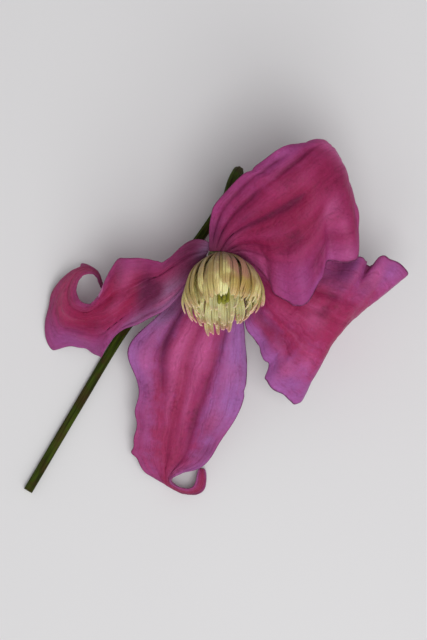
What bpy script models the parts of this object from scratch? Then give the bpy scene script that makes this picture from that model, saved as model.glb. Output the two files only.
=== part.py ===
"""One clematis flower, as picked: four recurved tepals, a boss of stamens round the pistils, and the pedicel.

It lies face up on its pedicel and on the tips of its tepals. +Z is up, and +X and +Y lie in the surface
it rests on. Lengths are in millimetres until they go into a mesh. Points of the tepals and the pedicel are
measured from the middle of the receptacle, which is where everything joins.
"""

import math

import bmesh
import bpy
import numpy as np
from mathutils import Matrix, Vector

MM = 0.001

# Driving dimensions.
FACE_TILT_DEG = 62.0  # between the flower's own axis and the vertical
RECEPTACLE_HEIGHT = 21.0  # of its middle, above the surface
RECEPTACLE_RADIUS = 2.4
RECEPTACLE_HALF_DEPTH = 1.8
TEPAL_THICKNESS = 0.6
PEDICEL_RADIUS = 0.95
COLLAR_RADIUS = 1.5  # the pedicel's swollen end, under the receptacle
COLLAR_SHARE = 0.035  # of the pedicel's length, over which it narrows again
SHARP_ANGLE_DEG = 60.0  # edges bent more than this are shaded sharp

TEPAL_ROWS = 22
TEPAL_COLUMNS = 10

# Each tepal is a surface through three smooth lines that run from its claw to its tip.
TEPALS = {
    "tepal_lower": {
        "margin_a": [
            (-1.7, -0.8, -2.4), (-6.6, -5.4, -6.2), (-11.5, -10.5, -8.8), (-15.8, -14.6, -10.4),
            (-18.9, -19.0, -11.4), (-17.3, -24.5, -12.6), (-16.8, -28.4, -13.8), (-18.0, -32.8, -15.2),
            (-17.7, -38.4, -17.2), (-15.8, -43.2, -19.0), (-11.9, -45.9, -20.3), (-7.4, -48.0, -20.8),
            (-3.7, -47.3, -20.75), (-3.0, -42.9, -20.2),
        ],
        "midrib": [
            (0.0, -1.0, -2.75), (-0.8, -5.4, -5.6), (-2.4, -11.0, -8.0), (-4.2, -16.0, -9.4),
            (-5.6, -20.6, -10.8), (-6.6, -25.4, -12.2), (-7.4, -29.6, -13.6), (-8.2, -33.6, -15.0),
            (-9.0, -37.8, -16.4), (-9.8, -41.4, -17.8), (-10.9, -44.9, -18.6), (-8.2, -47.3, -18.8),
            (-4.7, -46.9, -19.0), (-4.0, -42.8, -19.0),
        ],
        "margin_b": [
            (1.7, -0.8, -2.4), (3.4, -4.6, -6.0), (4.1, -10.0, -6.6), (4.6, -14.6, -8.0),
            (5.0, -19.2, -9.0), (4.7, -24.0, -10.4), (3.6, -29.0, -12.0), (1.6, -33.6, -13.6),
            (-0.8, -37.8, -15.2), (-4.2, -42.6, -16.4), (-9.5, -44.4, -16.6), (-9.3, -46.2, -16.8),
            (-5.9, -46.6, -17.4), (-5.0, -42.7, -17.9),
        ],
    },
    "tepal_right": {
        "margin_a": [
            (2.5, -0.4, -1.7), (4.4, -4.8, -4.4), (4.6, -12.4, -4.4), (6.5, -17.0, -4.8),
            (8.8, -21.6, -5.4), (9.6, -25.6, -6.4), (14.8, -29.5, -8.6), (17.8, -25.0, -13.0),
            (18.4, -20.4, -16.8), (18.8, -16.2, -19.2), (19.1, -13.8, -20.85),
        ],
        "midrib": [
            (2.9, 0.35, -0.2), (5.8, -2.2, -2.5), (9.4, -5.8, -1.2), (13.0, -8.6, -0.4), (16.8, -10.8, 0.2),
            (20.6, -12.8, 0.0), (23.4, -14.4, -2.2), (24.2, -14.8, -6.8), (23.4, -14.6, -11.6),
            (21.6, -14.0, -16.4), (19.5, -13.6, -20.85),
        ],
        "margin_b": [
            (2.5, 1.0, 0.9), (6.4, 0.9, -2.0), (11.6, 0.4, -0.6), (16.8, 0.0, -0.6), (22.0, 0.2, -0.4),
            (27.4, -0.3, -0.3), (32.6, -0.4, -1.0), (36.7, -3.6, -4.2), (30.6, -8.8, -10.6),
            (25.0, -11.4, -16.2), (19.9, -13.3, -20.85),
        ],
    },
    "tepal_upper": {
        "margin_a": [
            (-1.7, 1.5, 2.0), (-1.7, 5.2, 3.6), (-2.0, 8.6, 5.2), (0.2, 12.0, 7.0), (3.6, 15.4, 8.8),
            (7.6, 18.4, 10.2), (12.0, 21.2, 10.8), (16.4, 22.4, 9.4), (20.4, 21.8, 6.0), (21.4, 19.6, 2.8),
            (19.4, 16.6, 0.6),
        ],
        "midrib": [
            (0.0, 1.7, 2.35), (2.2, 4.2, 3.8), (5.4, 5.4, 5.8), (8.8, 7.0, 7.6), (12.4, 9.2, 9.2),
            (16.0, 12.0, 10.2), (19.4, 15.2, 10.0), (22.0, 17.6, 8.0), (22.8, 18.6, 4.6), (21.8, 17.8, 1.6),
            (19.8, 16.0, 0.2),
        ],
        "margin_b": [
            (1.7, 1.5, 2.0), (5.4, -0.5, 1.2), (9.2, -5.0, 1.2), (11.9, -8.6, 1.8), (16.4, -9.6, 2.6),
            (19.7, -4.8, 4.0), (21.6, -1.5, 5.4), (26.5, -1.0, 6.2), (26.9, 7.6, 5.6), (24.2, 13.6, 3.0),
            (20.4, 15.2, 0.6),
        ],
    },
    "tepal_left": {
        "margin_a": [
            (-2.5, -0.4, -1.7), (-5.6, -4.2, -3.6), (-9.6, -9.2, -5.8), (-14.4, -12.6, -8.2),
            (-18.8, -14.4, -10.6), (-22.8, -17.8, -13.4), (-25.2, -20.2, -16.4), (-30.0, -17.9, -18.6),
            (-34.5, -19.0, -20.7), (-35.4, -12.4, -20.0), (-33.9, -6.3, -18.4), (-29.6, -2.5, -17.2),
            (-25.6, -2.5, -16.6), (-23.6, -7.0, -16.2),
        ],
        "midrib": [
            (-2.9, 0.35, -0.2), (-6.6, -1.6, -0.9), (-10.6, -4.4, -2.3), (-14.4, -6.6, -4.0),
            (-18.2, -8.4, -6.2), (-21.8, -10.6, -8.8), (-25.2, -12.4, -11.4), (-28.4, -12.6, -13.4),
            (-31.2, -11.2, -14.6), (-31.9, -7.8, -15.0), (-30.4, -4.4, -15.0), (-27.9, -2.6, -15.0),
            (-25.2, -3.4, -14.8), (-23.9, -7.0, -14.6),
        ],
        "margin_b": [
            (-2.5, 1.15, 1.3), (-6.3, 3.0, 1.3), (-10.4, 0.4, 0.6), (-14.2, -0.9, -0.4),
            (-18.0, -0.2, -1.8), (-21.4, -2.0, -4.0), (-24.0, -6.0, -6.6), (-25.8, -9.4, -9.0),
            (-28.2, -8.9, -11.0), (-29.2, -6.4, -12.2), (-28.2, -4.2, -12.8), (-26.8, -3.5, -12.8),
            (-25.2, -4.1, -12.8), (-24.2, -7.0, -12.8),
        ],
    },
}

# The pedicel's middle line, from the receptacle round the nodding hook and along the surface to its cut end.
PEDICEL_ROUTE = [
    (0.1, 1.9, -1.05), (0.4, 5.8, -3.2), (0.9, 10.2, -5.6), (1.9, 14.4, -8.3), (3.1, 17.0, -12.0),
    (3.5, 16.8, -16.2), (2.0, 13.8, -19.35), (-1.5, 8.0, -20.05), (-6.8, 0.6, -20.05), (-13.0, -6.8, -20.05),
    (-19.3, -14.3, -20.05), (-26.8, -26.4, -20.05), (-33.3, -37.4, -20.05), (-39.2, -47.4, -20.05),
]
PEDICEL_STEPS = 56
PEDICEL_SIDES = 10

# Rings of stamens: how many, where they start along the flower's axis, how far round the first one stands (in
# spacings), their breadth, the ring's radius at six even places from receptacle to tips, where along the axis
# the tips end and how far they turn outward, both at even angles round it from the flower's right.
STAMEN_RINGS = [
    {
        "count": 24, "foot": 0.55, "turn": 0.5, "breadth": 0.95,
        "radii": (2.90, 6.0, 7.5, 8.1, 8.0, 6.9),
        "tips": (
            10.5, 10.2, 11.1, 12.4, 12.2, 10.6, 10.5, 11.6, 13.2, 12.6, 12.9, 12.2,
            12.0, 12.6, 12.2, 13.9, 15.2, 13.0, 13.6, 11.6, 12.3, 10.6, 11.8, 10.4,
        ),
        "flares": (
            1.0, 0.3, 0.3, 0.3, 0.0, 0.0, 0.0, 0.0, 0.3, 0.3, 0.3, 0.4,
            0.4, -0.1, -0.5, -0.5, -0.6, -0.8, -0.8, -0.5, -0.5, -0.2, -0.2, 1.0,
        ),
    },
    {
        "count": 16, "foot": 1.60, "turn": 0.2, "breadth": 0.9,
        "radii": (2.05, 4.5, 5.8, 6.3, 6.2, 5.0),
        "tips": (
            10.4, 10.8, 11.2, 11.6, 11.0, 10.9, 10.7, 11.4, 11.8, 11.9, 11.6, 11.8,
            11.6, 12.0, 12.2, 12.8, 12.4, 13.0, 12.5, 12.6, 12.2, 11.6, 11.2, 10.6,
        ),
        "flares": (0.0,),
    },
    {
        "count": 8, "foot": 2.05, "turn": 0.5, "breadth": 1.0,
        "radii": (1.35, 2.9, 4.0, 4.5, 4.4, 3.6),
        "tips": (
            9.4, 9.9, 10.2, 8.8, 10.1, 10.3, 10.1, 10.3, 9.9, 8.8, 10.0, 10.3,
            9.8, 10.4, 9.7, 10.8, 10.4, 11.2, 10.4, 11.0, 10.2, 10.7, 9.6, 9.9,
        ),
        "flares": (0.0,),
    },
]
STAMEN_WIDTHS = (0.25, 0.48, 0.70, 0.76, 0.68, 0.30)  # half widths, filament then anther
STAMEN_DEPTHS = (0.18, 0.20, 0.24, 0.32, 0.34, 0.18)  # half thicknesses
STAMEN_SIDES = 6
STAMEN_CUTS = 6
TIP_LEAN = 0.15  # share of its radius by which a tip on the upper side curls in, and one below spreads
TIP_SCATTER = 0.3  # how much the stamens of one ring differ in length, either way
BOSS_SWAY = -0.06  # how far to the flower's side the boss leans, to each millimetre along the axis
BOSS_SWAY_FROM = 4.0  # where along the axis it starts to lean

PISTILS = {
    "count": 6,
    "foot": 2.25,
    "tip": 10.8,
    "radii": (0.70, 0.85, 1.00, 1.05, 1.05, 1.00),
    "half_depths": (0.20, 0.22, 0.24, 0.26, 0.32, 0.36),
}

FINISHES = {
    "tepal": ((0.42, 0.07, 0.26), 0.55),
    "stamen": ((0.72, 0.60, 0.28), 0.65),
    "pistil": ((0.52, 0.56, 0.16), 0.60),
    "receptacle": ((0.30, 0.33, 0.14), 0.60),
    "pedicel": ((0.10, 0.10, 0.05), 0.60),
}


def clear_scene():
    """Removes what the startup scene holds."""
    for obj in list(bpy.data.objects):
        bpy.data.objects.remove(obj)


def finish_of(name):
    """The material of one kind of piece, made on first use."""
    material = bpy.data.materials.get(name)
    if material is None:
        colour, roughness = FINISHES[name]
        material = bpy.data.materials.new(name)
        material.use_nodes = True
        shader = material.node_tree.nodes["Principled BSDF"]
        shader.inputs["Base Color"].default_value = (*colour, 1.0)
        shader.inputs["Roughness"].default_value = roughness
        shader.inputs["Metallic"].default_value = 0.0
    return material


def smooth_line(knots, places):
    """Points of the natural cubic spline through the knots, at places from 0 to 1 along it."""
    knots = np.array(knots, float)
    last = len(knots) - 1
    system = np.eye(last + 1)
    bends = np.zeros_like(knots)
    for i in range(1, last):
        system[i, i - 1 : i + 2] = (1.0, 4.0, 1.0)
        bends[i] = 6.0 * (knots[i - 1] - 2.0 * knots[i] + knots[i + 1])
    bends = np.linalg.solve(system, bends)
    found = []
    for place in places:
        i = min(int(place * last), last - 1)
        b = place * last - i
        a = 1.0 - b
        curved = (a**3 - a) * bends[i] + (b**3 - b) * bends[i + 1]
        found.append(a * knots[i] + b * knots[i + 1] + curved / 6.0)
    return np.array(found)


def uneven(seed):
    """A fixed number from -1 to 1 that differs from seed to seed."""
    return math.sin(seed * 12.9898) * math.cos(seed * 4.1414)


def new_object(name, bm, finish, parent):
    """Turns a bmesh into a named, smooth-shaded object under a parent."""
    bmesh.ops.recalc_face_normals(bm, faces=bm.faces)
    mesh = bpy.data.meshes.new(name)
    bm.to_mesh(mesh)
    bm.free()
    mesh.shade_smooth()
    mesh.set_sharp_from_angle(angle=math.radians(SHARP_ANGLE_DEG))
    mesh.materials.append(finish_of(finish))
    obj = bpy.data.objects.new(name, mesh)
    bpy.context.scene.collection.objects.link(obj)
    obj.parent = parent
    return obj


def new_empty(name, location, tilt_deg, parent):
    """An empty that carries pieces and leans about X."""
    empty = bpy.data.objects.new(name, None)
    bpy.context.scene.collection.objects.link(empty)
    empty.location = Vector(location) * MM
    empty.rotation_euler = (math.radians(tilt_deg), 0.0, 0.0)
    empty.parent = parent
    return empty


def mapped_grid(columns, rows, place):
    """A grid of columns by rows whose points go where place(across, along) says, both running from 0 to 1."""
    bm = bmesh.new()
    bmesh.ops.create_grid(bm, x_segments=columns, y_segments=rows, size=0.5)
    for vert in bm.verts:
        vert.co = Vector(place(vert.co.x + 0.5, vert.co.y + 0.5)) * MM
    return bm


def solid_tube(sides, rows, place):
    """A mapped grid closed round into a tube with capped ends."""
    bm = mapped_grid(sides, rows, place)
    bmesh.ops.remove_doubles(bm, verts=bm.verts, dist=0.001 * MM)
    bmesh.ops.holes_fill(bm, edges=[edge for edge in bm.edges if edge.is_boundary], sides=0)
    return bm


def add_tepal(name, parent):
    """A thin blade laid on the surface through its two margins and its midrib, then given its thickness."""
    along = np.linspace(0.0, 1.0, TEPAL_ROWS + 1)
    lines = TEPALS[name]
    margin_a = smooth_line(lines["margin_a"], along)
    midrib = smooth_line(lines["midrib"], along)
    margin_b = smooth_line(lines["margin_b"], along)

    def place(across, forward):
        row = round(forward * TEPAL_ROWS)
        side = 2.0 * across - 1.0
        near_a = side * (side - 1.0) / 2.0
        near_b = side * (side + 1.0) / 2.0
        return near_a * margin_a[row] + (1.0 - side**2) * midrib[row] + near_b * margin_b[row]

    bm = mapped_grid(TEPAL_COLUMNS, TEPAL_ROWS, place)
    tepal = new_object(name, bm, "tepal", parent)
    thicken = tepal.modifiers.new("thickness", "SOLIDIFY")
    thicken.thickness = TEPAL_THICKNESS * MM
    thicken.offset = 0.0
    return tepal


def frames_along(points):
    """Two directions across a smooth line at each of its points, carried along it without twisting."""
    tangents = np.gradient(points, axis=0)
    tangents /= np.linalg.norm(tangents, axis=1)[:, None]
    first = np.cross(tangents[0], (1.0, 0.0, 0.0))
    frames = []
    for tangent in tangents:
        first = first - tangent * np.dot(first, tangent)
        first = first / np.linalg.norm(first)
        frames.append((first, np.cross(tangent, first)))
    return frames


def add_pedicel(parent):
    """The flower's own stalk, nodding over and lying back along the surface to a clean cut."""
    points = smooth_line(PEDICEL_ROUTE, np.linspace(0.0, 1.0, PEDICEL_STEPS + 1))
    frames = frames_along(points)

    def place(around, forward):
        row = round(forward * PEDICEL_STEPS)
        angle = 2.0 * math.pi * around
        swell = math.exp(-((forward / COLLAR_SHARE) ** 2))
        radius = PEDICEL_RADIUS + (COLLAR_RADIUS - PEDICEL_RADIUS) * swell
        across, upright = frames[row]
        return points[row] + radius * (math.cos(angle) * across + math.sin(angle) * upright)

    return new_object("pedicel", solid_tube(PEDICEL_SIDES, PEDICEL_STEPS, place), "pedicel", parent)


def add_receptacle(parent):
    """The squashed knob that every other piece springs from."""
    bm = bmesh.new()
    shape = Matrix.Diagonal((1.0, 1.0, RECEPTACLE_HALF_DEPTH / RECEPTACLE_RADIUS, 1.0))
    bmesh.ops.create_uvsphere(bm, u_segments=16, v_segments=10, radius=RECEPTACLE_RADIUS * MM, matrix=shape)
    return new_object("receptacle", bm, "receptacle", parent)


def pick(values, turn):
    """The value for a place round a ring, from values at even angles."""
    return values[int(turn * len(values)) % len(values)]


def strand_line(radii, foot, tip, angle, flare):
    """The middle line of a stamen or pistil, which leans in or out by the side of the flower it is on."""
    upper = math.sin(angle)
    points = []
    for i, radius in enumerate(radii):
        forward = i / (len(radii) - 1)
        reach = radius * (1.0 - TIP_LEAN * upper * forward**2) + flare * forward**4
        height = foot + (tip - foot) * forward
        aside = BOSS_SWAY * max(height - BOSS_SWAY_FROM, 0.0)
        points.append((reach * math.cos(angle) + aside, reach * math.sin(angle), height))
    return smooth_line(points, np.linspace(0.0, 1.0, STAMEN_CUTS + 1))


def add_strand(name, line, half_widths, half_depths, angle, finish, parent):
    """A flat strap along a line, its broad side turned to the flower's axis."""
    sideways = np.array((-math.sin(angle), math.cos(angle), 0.0))
    tangents = np.gradient(line, axis=0)
    tangents /= np.linalg.norm(tangents, axis=1)[:, None]
    rows = len(line) - 1
    places = np.linspace(0.0, 1.0, len(half_widths))

    def place(around, forward):
        row = round(forward * rows)
        outward = np.cross(sideways, tangents[row])
        width = np.interp(forward, places, half_widths)
        depth = np.interp(forward, places, half_depths)
        turn = 2.0 * math.pi * around
        return line[row] + width * math.cos(turn) * sideways + depth * math.sin(turn) * outward

    return new_object(name, solid_tube(STAMEN_SIDES, rows, place), finish, parent)


def add_stamens(parent):
    """Every stamen of the three rings, each with its own slight lean and length."""
    number = 0
    for ring in STAMEN_RINGS:
        for i in range(ring["count"]):
            number += 1
            turn = (i + ring["turn"]) / ring["count"]
            angle = 2.0 * math.pi * turn
            tip = pick(ring["tips"], turn) + TIP_SCATTER * uneven(number)
            line = strand_line(ring["radii"], ring["foot"], tip, angle, pick(ring["flares"], turn))
            widths = [ring["breadth"] * width for width in STAMEN_WIDTHS]
            add_strand(f"stamen_{number:02d}", line, widths, STAMEN_DEPTHS, angle, "stamen", parent)


def add_pistils(parent):
    """The pistils in the middle of the boss, one upright and the others round it."""
    for i in range(PISTILS["count"]):
        angle = 2.0 * math.pi * i / (PISTILS["count"] - 1)
        radii = [0.0] * 6 if i == PISTILS["count"] - 1 else PISTILS["radii"]
        line = strand_line(radii, PISTILS["foot"], PISTILS["tip"], angle, 0.0)
        depths = PISTILS["half_depths"]
        add_strand(f"pistil_{i + 1:02d}", line, depths, depths, angle, "pistil", parent)


def centre_footprint(flower):
    """Puts the middle of the flower's footprint over the origin, and its lowest point at height zero."""
    bpy.context.view_layer.update()
    graph = bpy.context.evaluated_depsgraph_get()
    corners = []
    for obj in bpy.context.scene.objects:
        if obj.type == "MESH":
            solid = obj.evaluated_get(graph)
            corners += [solid.matrix_world @ vert.co for vert in solid.data.vertices]
    lowest = [min(corner[axis] for corner in corners) for axis in range(3)]
    highest = [max(corner[axis] for corner in corners) for axis in range(3)]
    middle = Vector([(low + high) / 2.0 for low, high in zip(lowest, highest)])
    flower.location -= Vector((middle.x, middle.y, lowest[2]))


def main():
    clear_scene()
    flower = new_empty("flower", (0.0, 0.0, RECEPTACLE_HEIGHT), 0.0, None)
    face = new_empty("face", (0.0, 0.0, 0.0), FACE_TILT_DEG, flower)
    for name in TEPALS:
        add_tepal(name, flower)
    add_pedicel(flower)
    add_receptacle(face)
    add_stamens(face)
    add_pistils(face)
    centre_footprint(flower)


if __name__ == "__main__":
    main()
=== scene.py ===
"""Looks of one picked clematis flower, lying face up on a pale table.

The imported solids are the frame. Each tepal, stamen, pistil, the receptacle and the pedicel is made again here
as a finer piece for its solid, and every stamen gets two fellows beside it. Lengths are in millimetres until
they go into a mesh, and points are measured from the middle of the receptacle. Across a tepal, -1 is its
first margin, 0 its midrib and 1 its second margin. Along a piece, 0 is the end at the receptacle and 1 the
far end.
"""

from __future__ import annotations

import logging
import math
from dataclasses import dataclass
from enum import Enum
from typing import Callable, Mapping, Sequence, TypeVar, Union

import bmesh
import bpy
import numpy as np
from mathutils import Matrix, Vector, noise

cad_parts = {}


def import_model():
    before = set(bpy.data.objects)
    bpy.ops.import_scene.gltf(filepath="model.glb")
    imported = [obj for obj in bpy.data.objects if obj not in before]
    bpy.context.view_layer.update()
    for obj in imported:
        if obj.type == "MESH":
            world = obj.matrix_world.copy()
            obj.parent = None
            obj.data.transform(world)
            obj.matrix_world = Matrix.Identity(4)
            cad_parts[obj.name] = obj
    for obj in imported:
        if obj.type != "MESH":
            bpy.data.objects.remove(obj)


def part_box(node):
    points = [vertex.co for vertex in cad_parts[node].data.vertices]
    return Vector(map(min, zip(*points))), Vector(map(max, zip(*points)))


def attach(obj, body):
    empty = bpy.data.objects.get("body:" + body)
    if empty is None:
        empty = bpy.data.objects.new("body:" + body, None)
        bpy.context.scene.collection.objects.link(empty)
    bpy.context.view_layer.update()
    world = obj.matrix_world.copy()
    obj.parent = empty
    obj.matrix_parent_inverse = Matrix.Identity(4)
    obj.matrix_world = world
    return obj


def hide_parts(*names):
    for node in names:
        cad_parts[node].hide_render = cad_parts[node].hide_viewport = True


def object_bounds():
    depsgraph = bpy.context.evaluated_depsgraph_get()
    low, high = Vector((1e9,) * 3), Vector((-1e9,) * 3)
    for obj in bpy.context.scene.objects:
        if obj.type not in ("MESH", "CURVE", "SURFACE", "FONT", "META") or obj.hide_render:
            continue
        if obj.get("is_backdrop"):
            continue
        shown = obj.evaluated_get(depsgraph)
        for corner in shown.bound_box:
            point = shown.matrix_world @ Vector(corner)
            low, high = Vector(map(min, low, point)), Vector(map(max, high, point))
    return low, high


LOG = logging.getLogger("clematis")

MM = 0.001
BODY = "root"
FACE_TILT_DEG = 62.0  # between the flower's own axis and the vertical
MERGE_MM = 0.0005
SURFACE_MAP = "surface"  # the UV map that follows each piece: round it, then along it
RELIEF = "relief"  # the attribute that holds how far a ridge stands up, or a groove lies deep
AGE_AND_GAP_SHADE = "age"  # the attribute that holds how faded a strand is, from 0 to 1, raised as painted shade behind the boss's partings

UNEVEN_TURNS = (12.9898, 4.1414)  # radians to a unit of seed, far enough apart that nothing repeats

Colour = tuple[float, float, float]
Point = tuple[float, float, float]
Row = Sequence[float]
Placed = tuple[np.ndarray, Row]  # a point in millimetres, and the value of each mark on it
Kind = TypeVar("Kind")


class Tone(Enum):
    """A colour laid on part of a tepal, from the tepal's own tones to painted shade and light, by the name of
    the attribute that says how strongly.
    """

    LILAC = "lilac"
    CRIMSON = "crimson"
    # The tepal's own pink, which also serves as painted light on shaded curls and turned-over tips.
    PINK = "pink"
    # The tepal's own greyed violet; on the right tepal it is dark, a painted shade under the upper tepal's
    # lobe.
    VIOLET = "violet"
    # Painted shade, under the boss and the other tepals, in folds and valleys and in curled tips.
    PAINTED_SHADE = "dusk"


TEPAL_MARKS = (RELIEF, *(tone.value for tone in Tone))


# --- shader maths ---


class Value:
    """A shader's number, colour or vector, to which Python's operators add Math nodes."""

    def __init__(self, painter: "Painter", socket: bpy.types.NodeSocket) -> None:
        """Keeps the socket and the painter that made it."""
        self.painter = painter
        self.socket = socket

    def __add__(self, other: "Operand") -> "Value":
        """The sum."""
        return self.painter.math("ADD", self, other)

    __radd__ = __add__

    def __mul__(self, other: "Operand") -> "Value":
        """The product."""
        return self.painter.math("MULTIPLY", self, other)

    def __sub__(self, other: "Operand") -> "Value":
        """The difference."""
        return self.painter.math("SUBTRACT", self, other)

    def __rsub__(self, other: "Operand") -> "Value":
        """The difference, with this value taken away."""
        return self.painter.math("SUBTRACT", other, self)

    def __abs__(self) -> "Value":
        """The size, without the sign."""
        return self.painter.math("ABSOLUTE", self)

    def rise(self, low: float, high: float) -> "Value":
        """A smooth step from 0 at low to 1 at high.

        Args:
            low: where the step is still 0. It may be above high, and then the step falls.
            high: where the step reaches 1.

        Returns:
            The stepped value.
        """
        inputs = {"Value": self, "From Min": min(low, high), "From Max": max(low, high)}
        if low > high:
            inputs.update({"To Min": 1.0, "To Max": 0.0})
        settings = {"interpolation_type": "SMOOTHSTEP"}
        return self.painter.value("ShaderNodeMapRange", settings, inputs, "Result")

    def band(self, middle: float, half_width: float) -> "Value":
        """A smooth hump of height 1 round a middle value."""
        return abs(self - middle).rise(half_width, 0.0)


Operand = Union[Value, float]


class Painter:
    """Builds the nodes of one material."""

    def __init__(self, name: str) -> None:
        """Makes the material with its Principled shader."""
        self.material = bpy.data.materials.new(name)
        self.material.use_nodes = True
        self.tree = self.material.node_tree
        self.shader = self.tree.nodes["Principled BSDF"]

    def feed(self, socket: bpy.types.NodeSocket, value: object) -> None:
        """Links a value to a socket, or sets a plain number, colour or vector on it."""
        if isinstance(value, Value):
            self.tree.links.new(value.socket, socket)
        elif socket.type == "RGBA":
            socket.default_value = (*value[:3], 1.0)
        else:
            socket.default_value = value

    def node(self, kind: str, settings: dict[str, object], inputs: dict[object, object]) -> bpy.types.Node:
        """Adds any node.

        Args:
            kind: the node's type.
            settings: its own settings, which are made first.
            inputs: a value or a link for each named or numbered socket.

        Returns:
            The node.
        """
        made = self.tree.nodes.new(kind)
        for name, setting in settings.items():
            setattr(made, name, setting)
        for name, value in inputs.items():
            self.feed(made.inputs[name], value)
        return made

    def value(
        self, kind: str, settings: dict[str, object], inputs: dict[object, object], output: object
    ) -> Value:
        """Adds any node, as node does, and gives one of its outputs by name or number."""
        return Value(self, self.node(kind, settings, inputs).outputs[output])

    def math(self, operation: str, *operands: Operand) -> Value:
        """One Math node."""
        return self.value("ShaderNodeMath", {"operation": operation}, dict(enumerate(operands)), "Value")

    def mix(self, share: Operand, first: object, second: object, blend: str = "MIX") -> Value:
        """The first colour where share is 0, blended with the second as it goes to 1."""
        settings = {"data_type": "RGBA", "blend_type": blend, "clamp_factor": True}
        return self.value("ShaderNodeMix", settings, {0: share, 6: first, 7: second}, 2)

    def coats(self, base: object, *coats: tuple[Operand, Colour]) -> Value:
        """A colour under coats of others, each with the share to which it covers what is below."""
        for share, colour in coats:
            base = self.mix(share, base, colour)
        return base

    def attribute(self, name: str) -> Value:
        """A number stored on the mesh."""
        return self.value("ShaderNodeAttribute", {"attribute_name": name}, {}, "Fac")

    def surface(self) -> tuple[Value, Value]:
        """The two places of the piece's own UV map: round it and along it."""
        uv = self.value("ShaderNodeUVMap", {"uv_map": SURFACE_MAP}, {}, "UV")
        split = self.node("ShaderNodeSeparateXYZ", {}, {0: uv})
        return Value(self, split.outputs["X"]), Value(self, split.outputs["Y"])

    def place(self, origin: Vector) -> Value:
        """Object coordinates in millimetres from a point given in metres."""
        where = self.value("ShaderNodeTexCoord", {}, {}, "Object")
        inputs = {"Vector": where, "Location": -origin / MM, "Scale": (1 / MM,) * 3}
        return self.value("ShaderNodeMapping", {"vector_type": "POINT"}, inputs, "Vector")

    def join(self, x: Operand, y: Operand, z: Operand) -> Value:
        """A vector from three numbers."""
        return self.value("ShaderNodeCombineXYZ", {}, {"X": x, "Y": y, "Z": z}, "Vector")

    def distance(self, where: Value, spot: Point) -> Value:
        """How far a place is from a spot."""
        return self.value("ShaderNodeVectorMath", {"operation": "DISTANCE"}, {0: where, 1: spot}, "Value")

    def dot(self, where: Value, way: Point) -> Value:
        """How far a place lies along a direction."""
        return self.value("ShaderNodeVectorMath", {"operation": "DOT_PRODUCT"}, {0: where, 1: way}, "Value")

    def noise(self, where: Value, scale: float, detail: float = 3.0, roughness: float = 0.55) -> Value:
        """Cloudy noise about 0.5, with scale in features to the unit of where."""
        inputs = {"Vector": where, "Scale": scale, "Detail": detail, "Roughness": roughness}
        return self.value("ShaderNodeTexNoise", {"noise_dimensions": "3D"}, inputs, "Fac")

    def cells(self, where: Value, scale: float, feature: str = "DISTANCE_TO_EDGE") -> Value:
        """Distance inside a mosaic of cells."""
        inputs = {"Vector": where, "Scale": scale}
        return self.value("ShaderNodeTexVoronoi", {"feature": feature}, inputs, "Distance")

    def bump(self, height: Operand, depth_mm: float, strength: float = 1.0) -> None:
        """Feeds the shader's normal from a height of 0 to 1 that stands for a real depth."""
        inputs = {"Height": height, "Distance": depth_mm * MM, "Strength": strength}
        self.feed(self.shader.inputs["Normal"], self.value("ShaderNodeBump", {}, inputs, "Normal"))

    def shade(self, **inputs: object) -> None:
        """Feeds the shader's sockets, named with underscores for spaces."""
        for name, value in inputs.items():
            self.feed(self.shader.inputs[name.replace("_", " ")], value)


# --- finishes ---


class Finish:
    """The colours of one kind of piece, and how they are painted on it."""

    def make(self, name: str, origin: Vector) -> bpy.types.Material:
        """Builds the material.

        Args:
            name: the material's name.
            origin: the middle of the receptacle, in metres.

        Returns:
            The material, which reads the UV map and the attributes of the piece.
        """
        painter = Painter(name)
        self.paint(painter, origin)
        return painter.material

    def paint(self, paint: Painter, origin: Vector) -> None:
        """Feeds the shader of the material."""
        raise NotImplementedError


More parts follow.
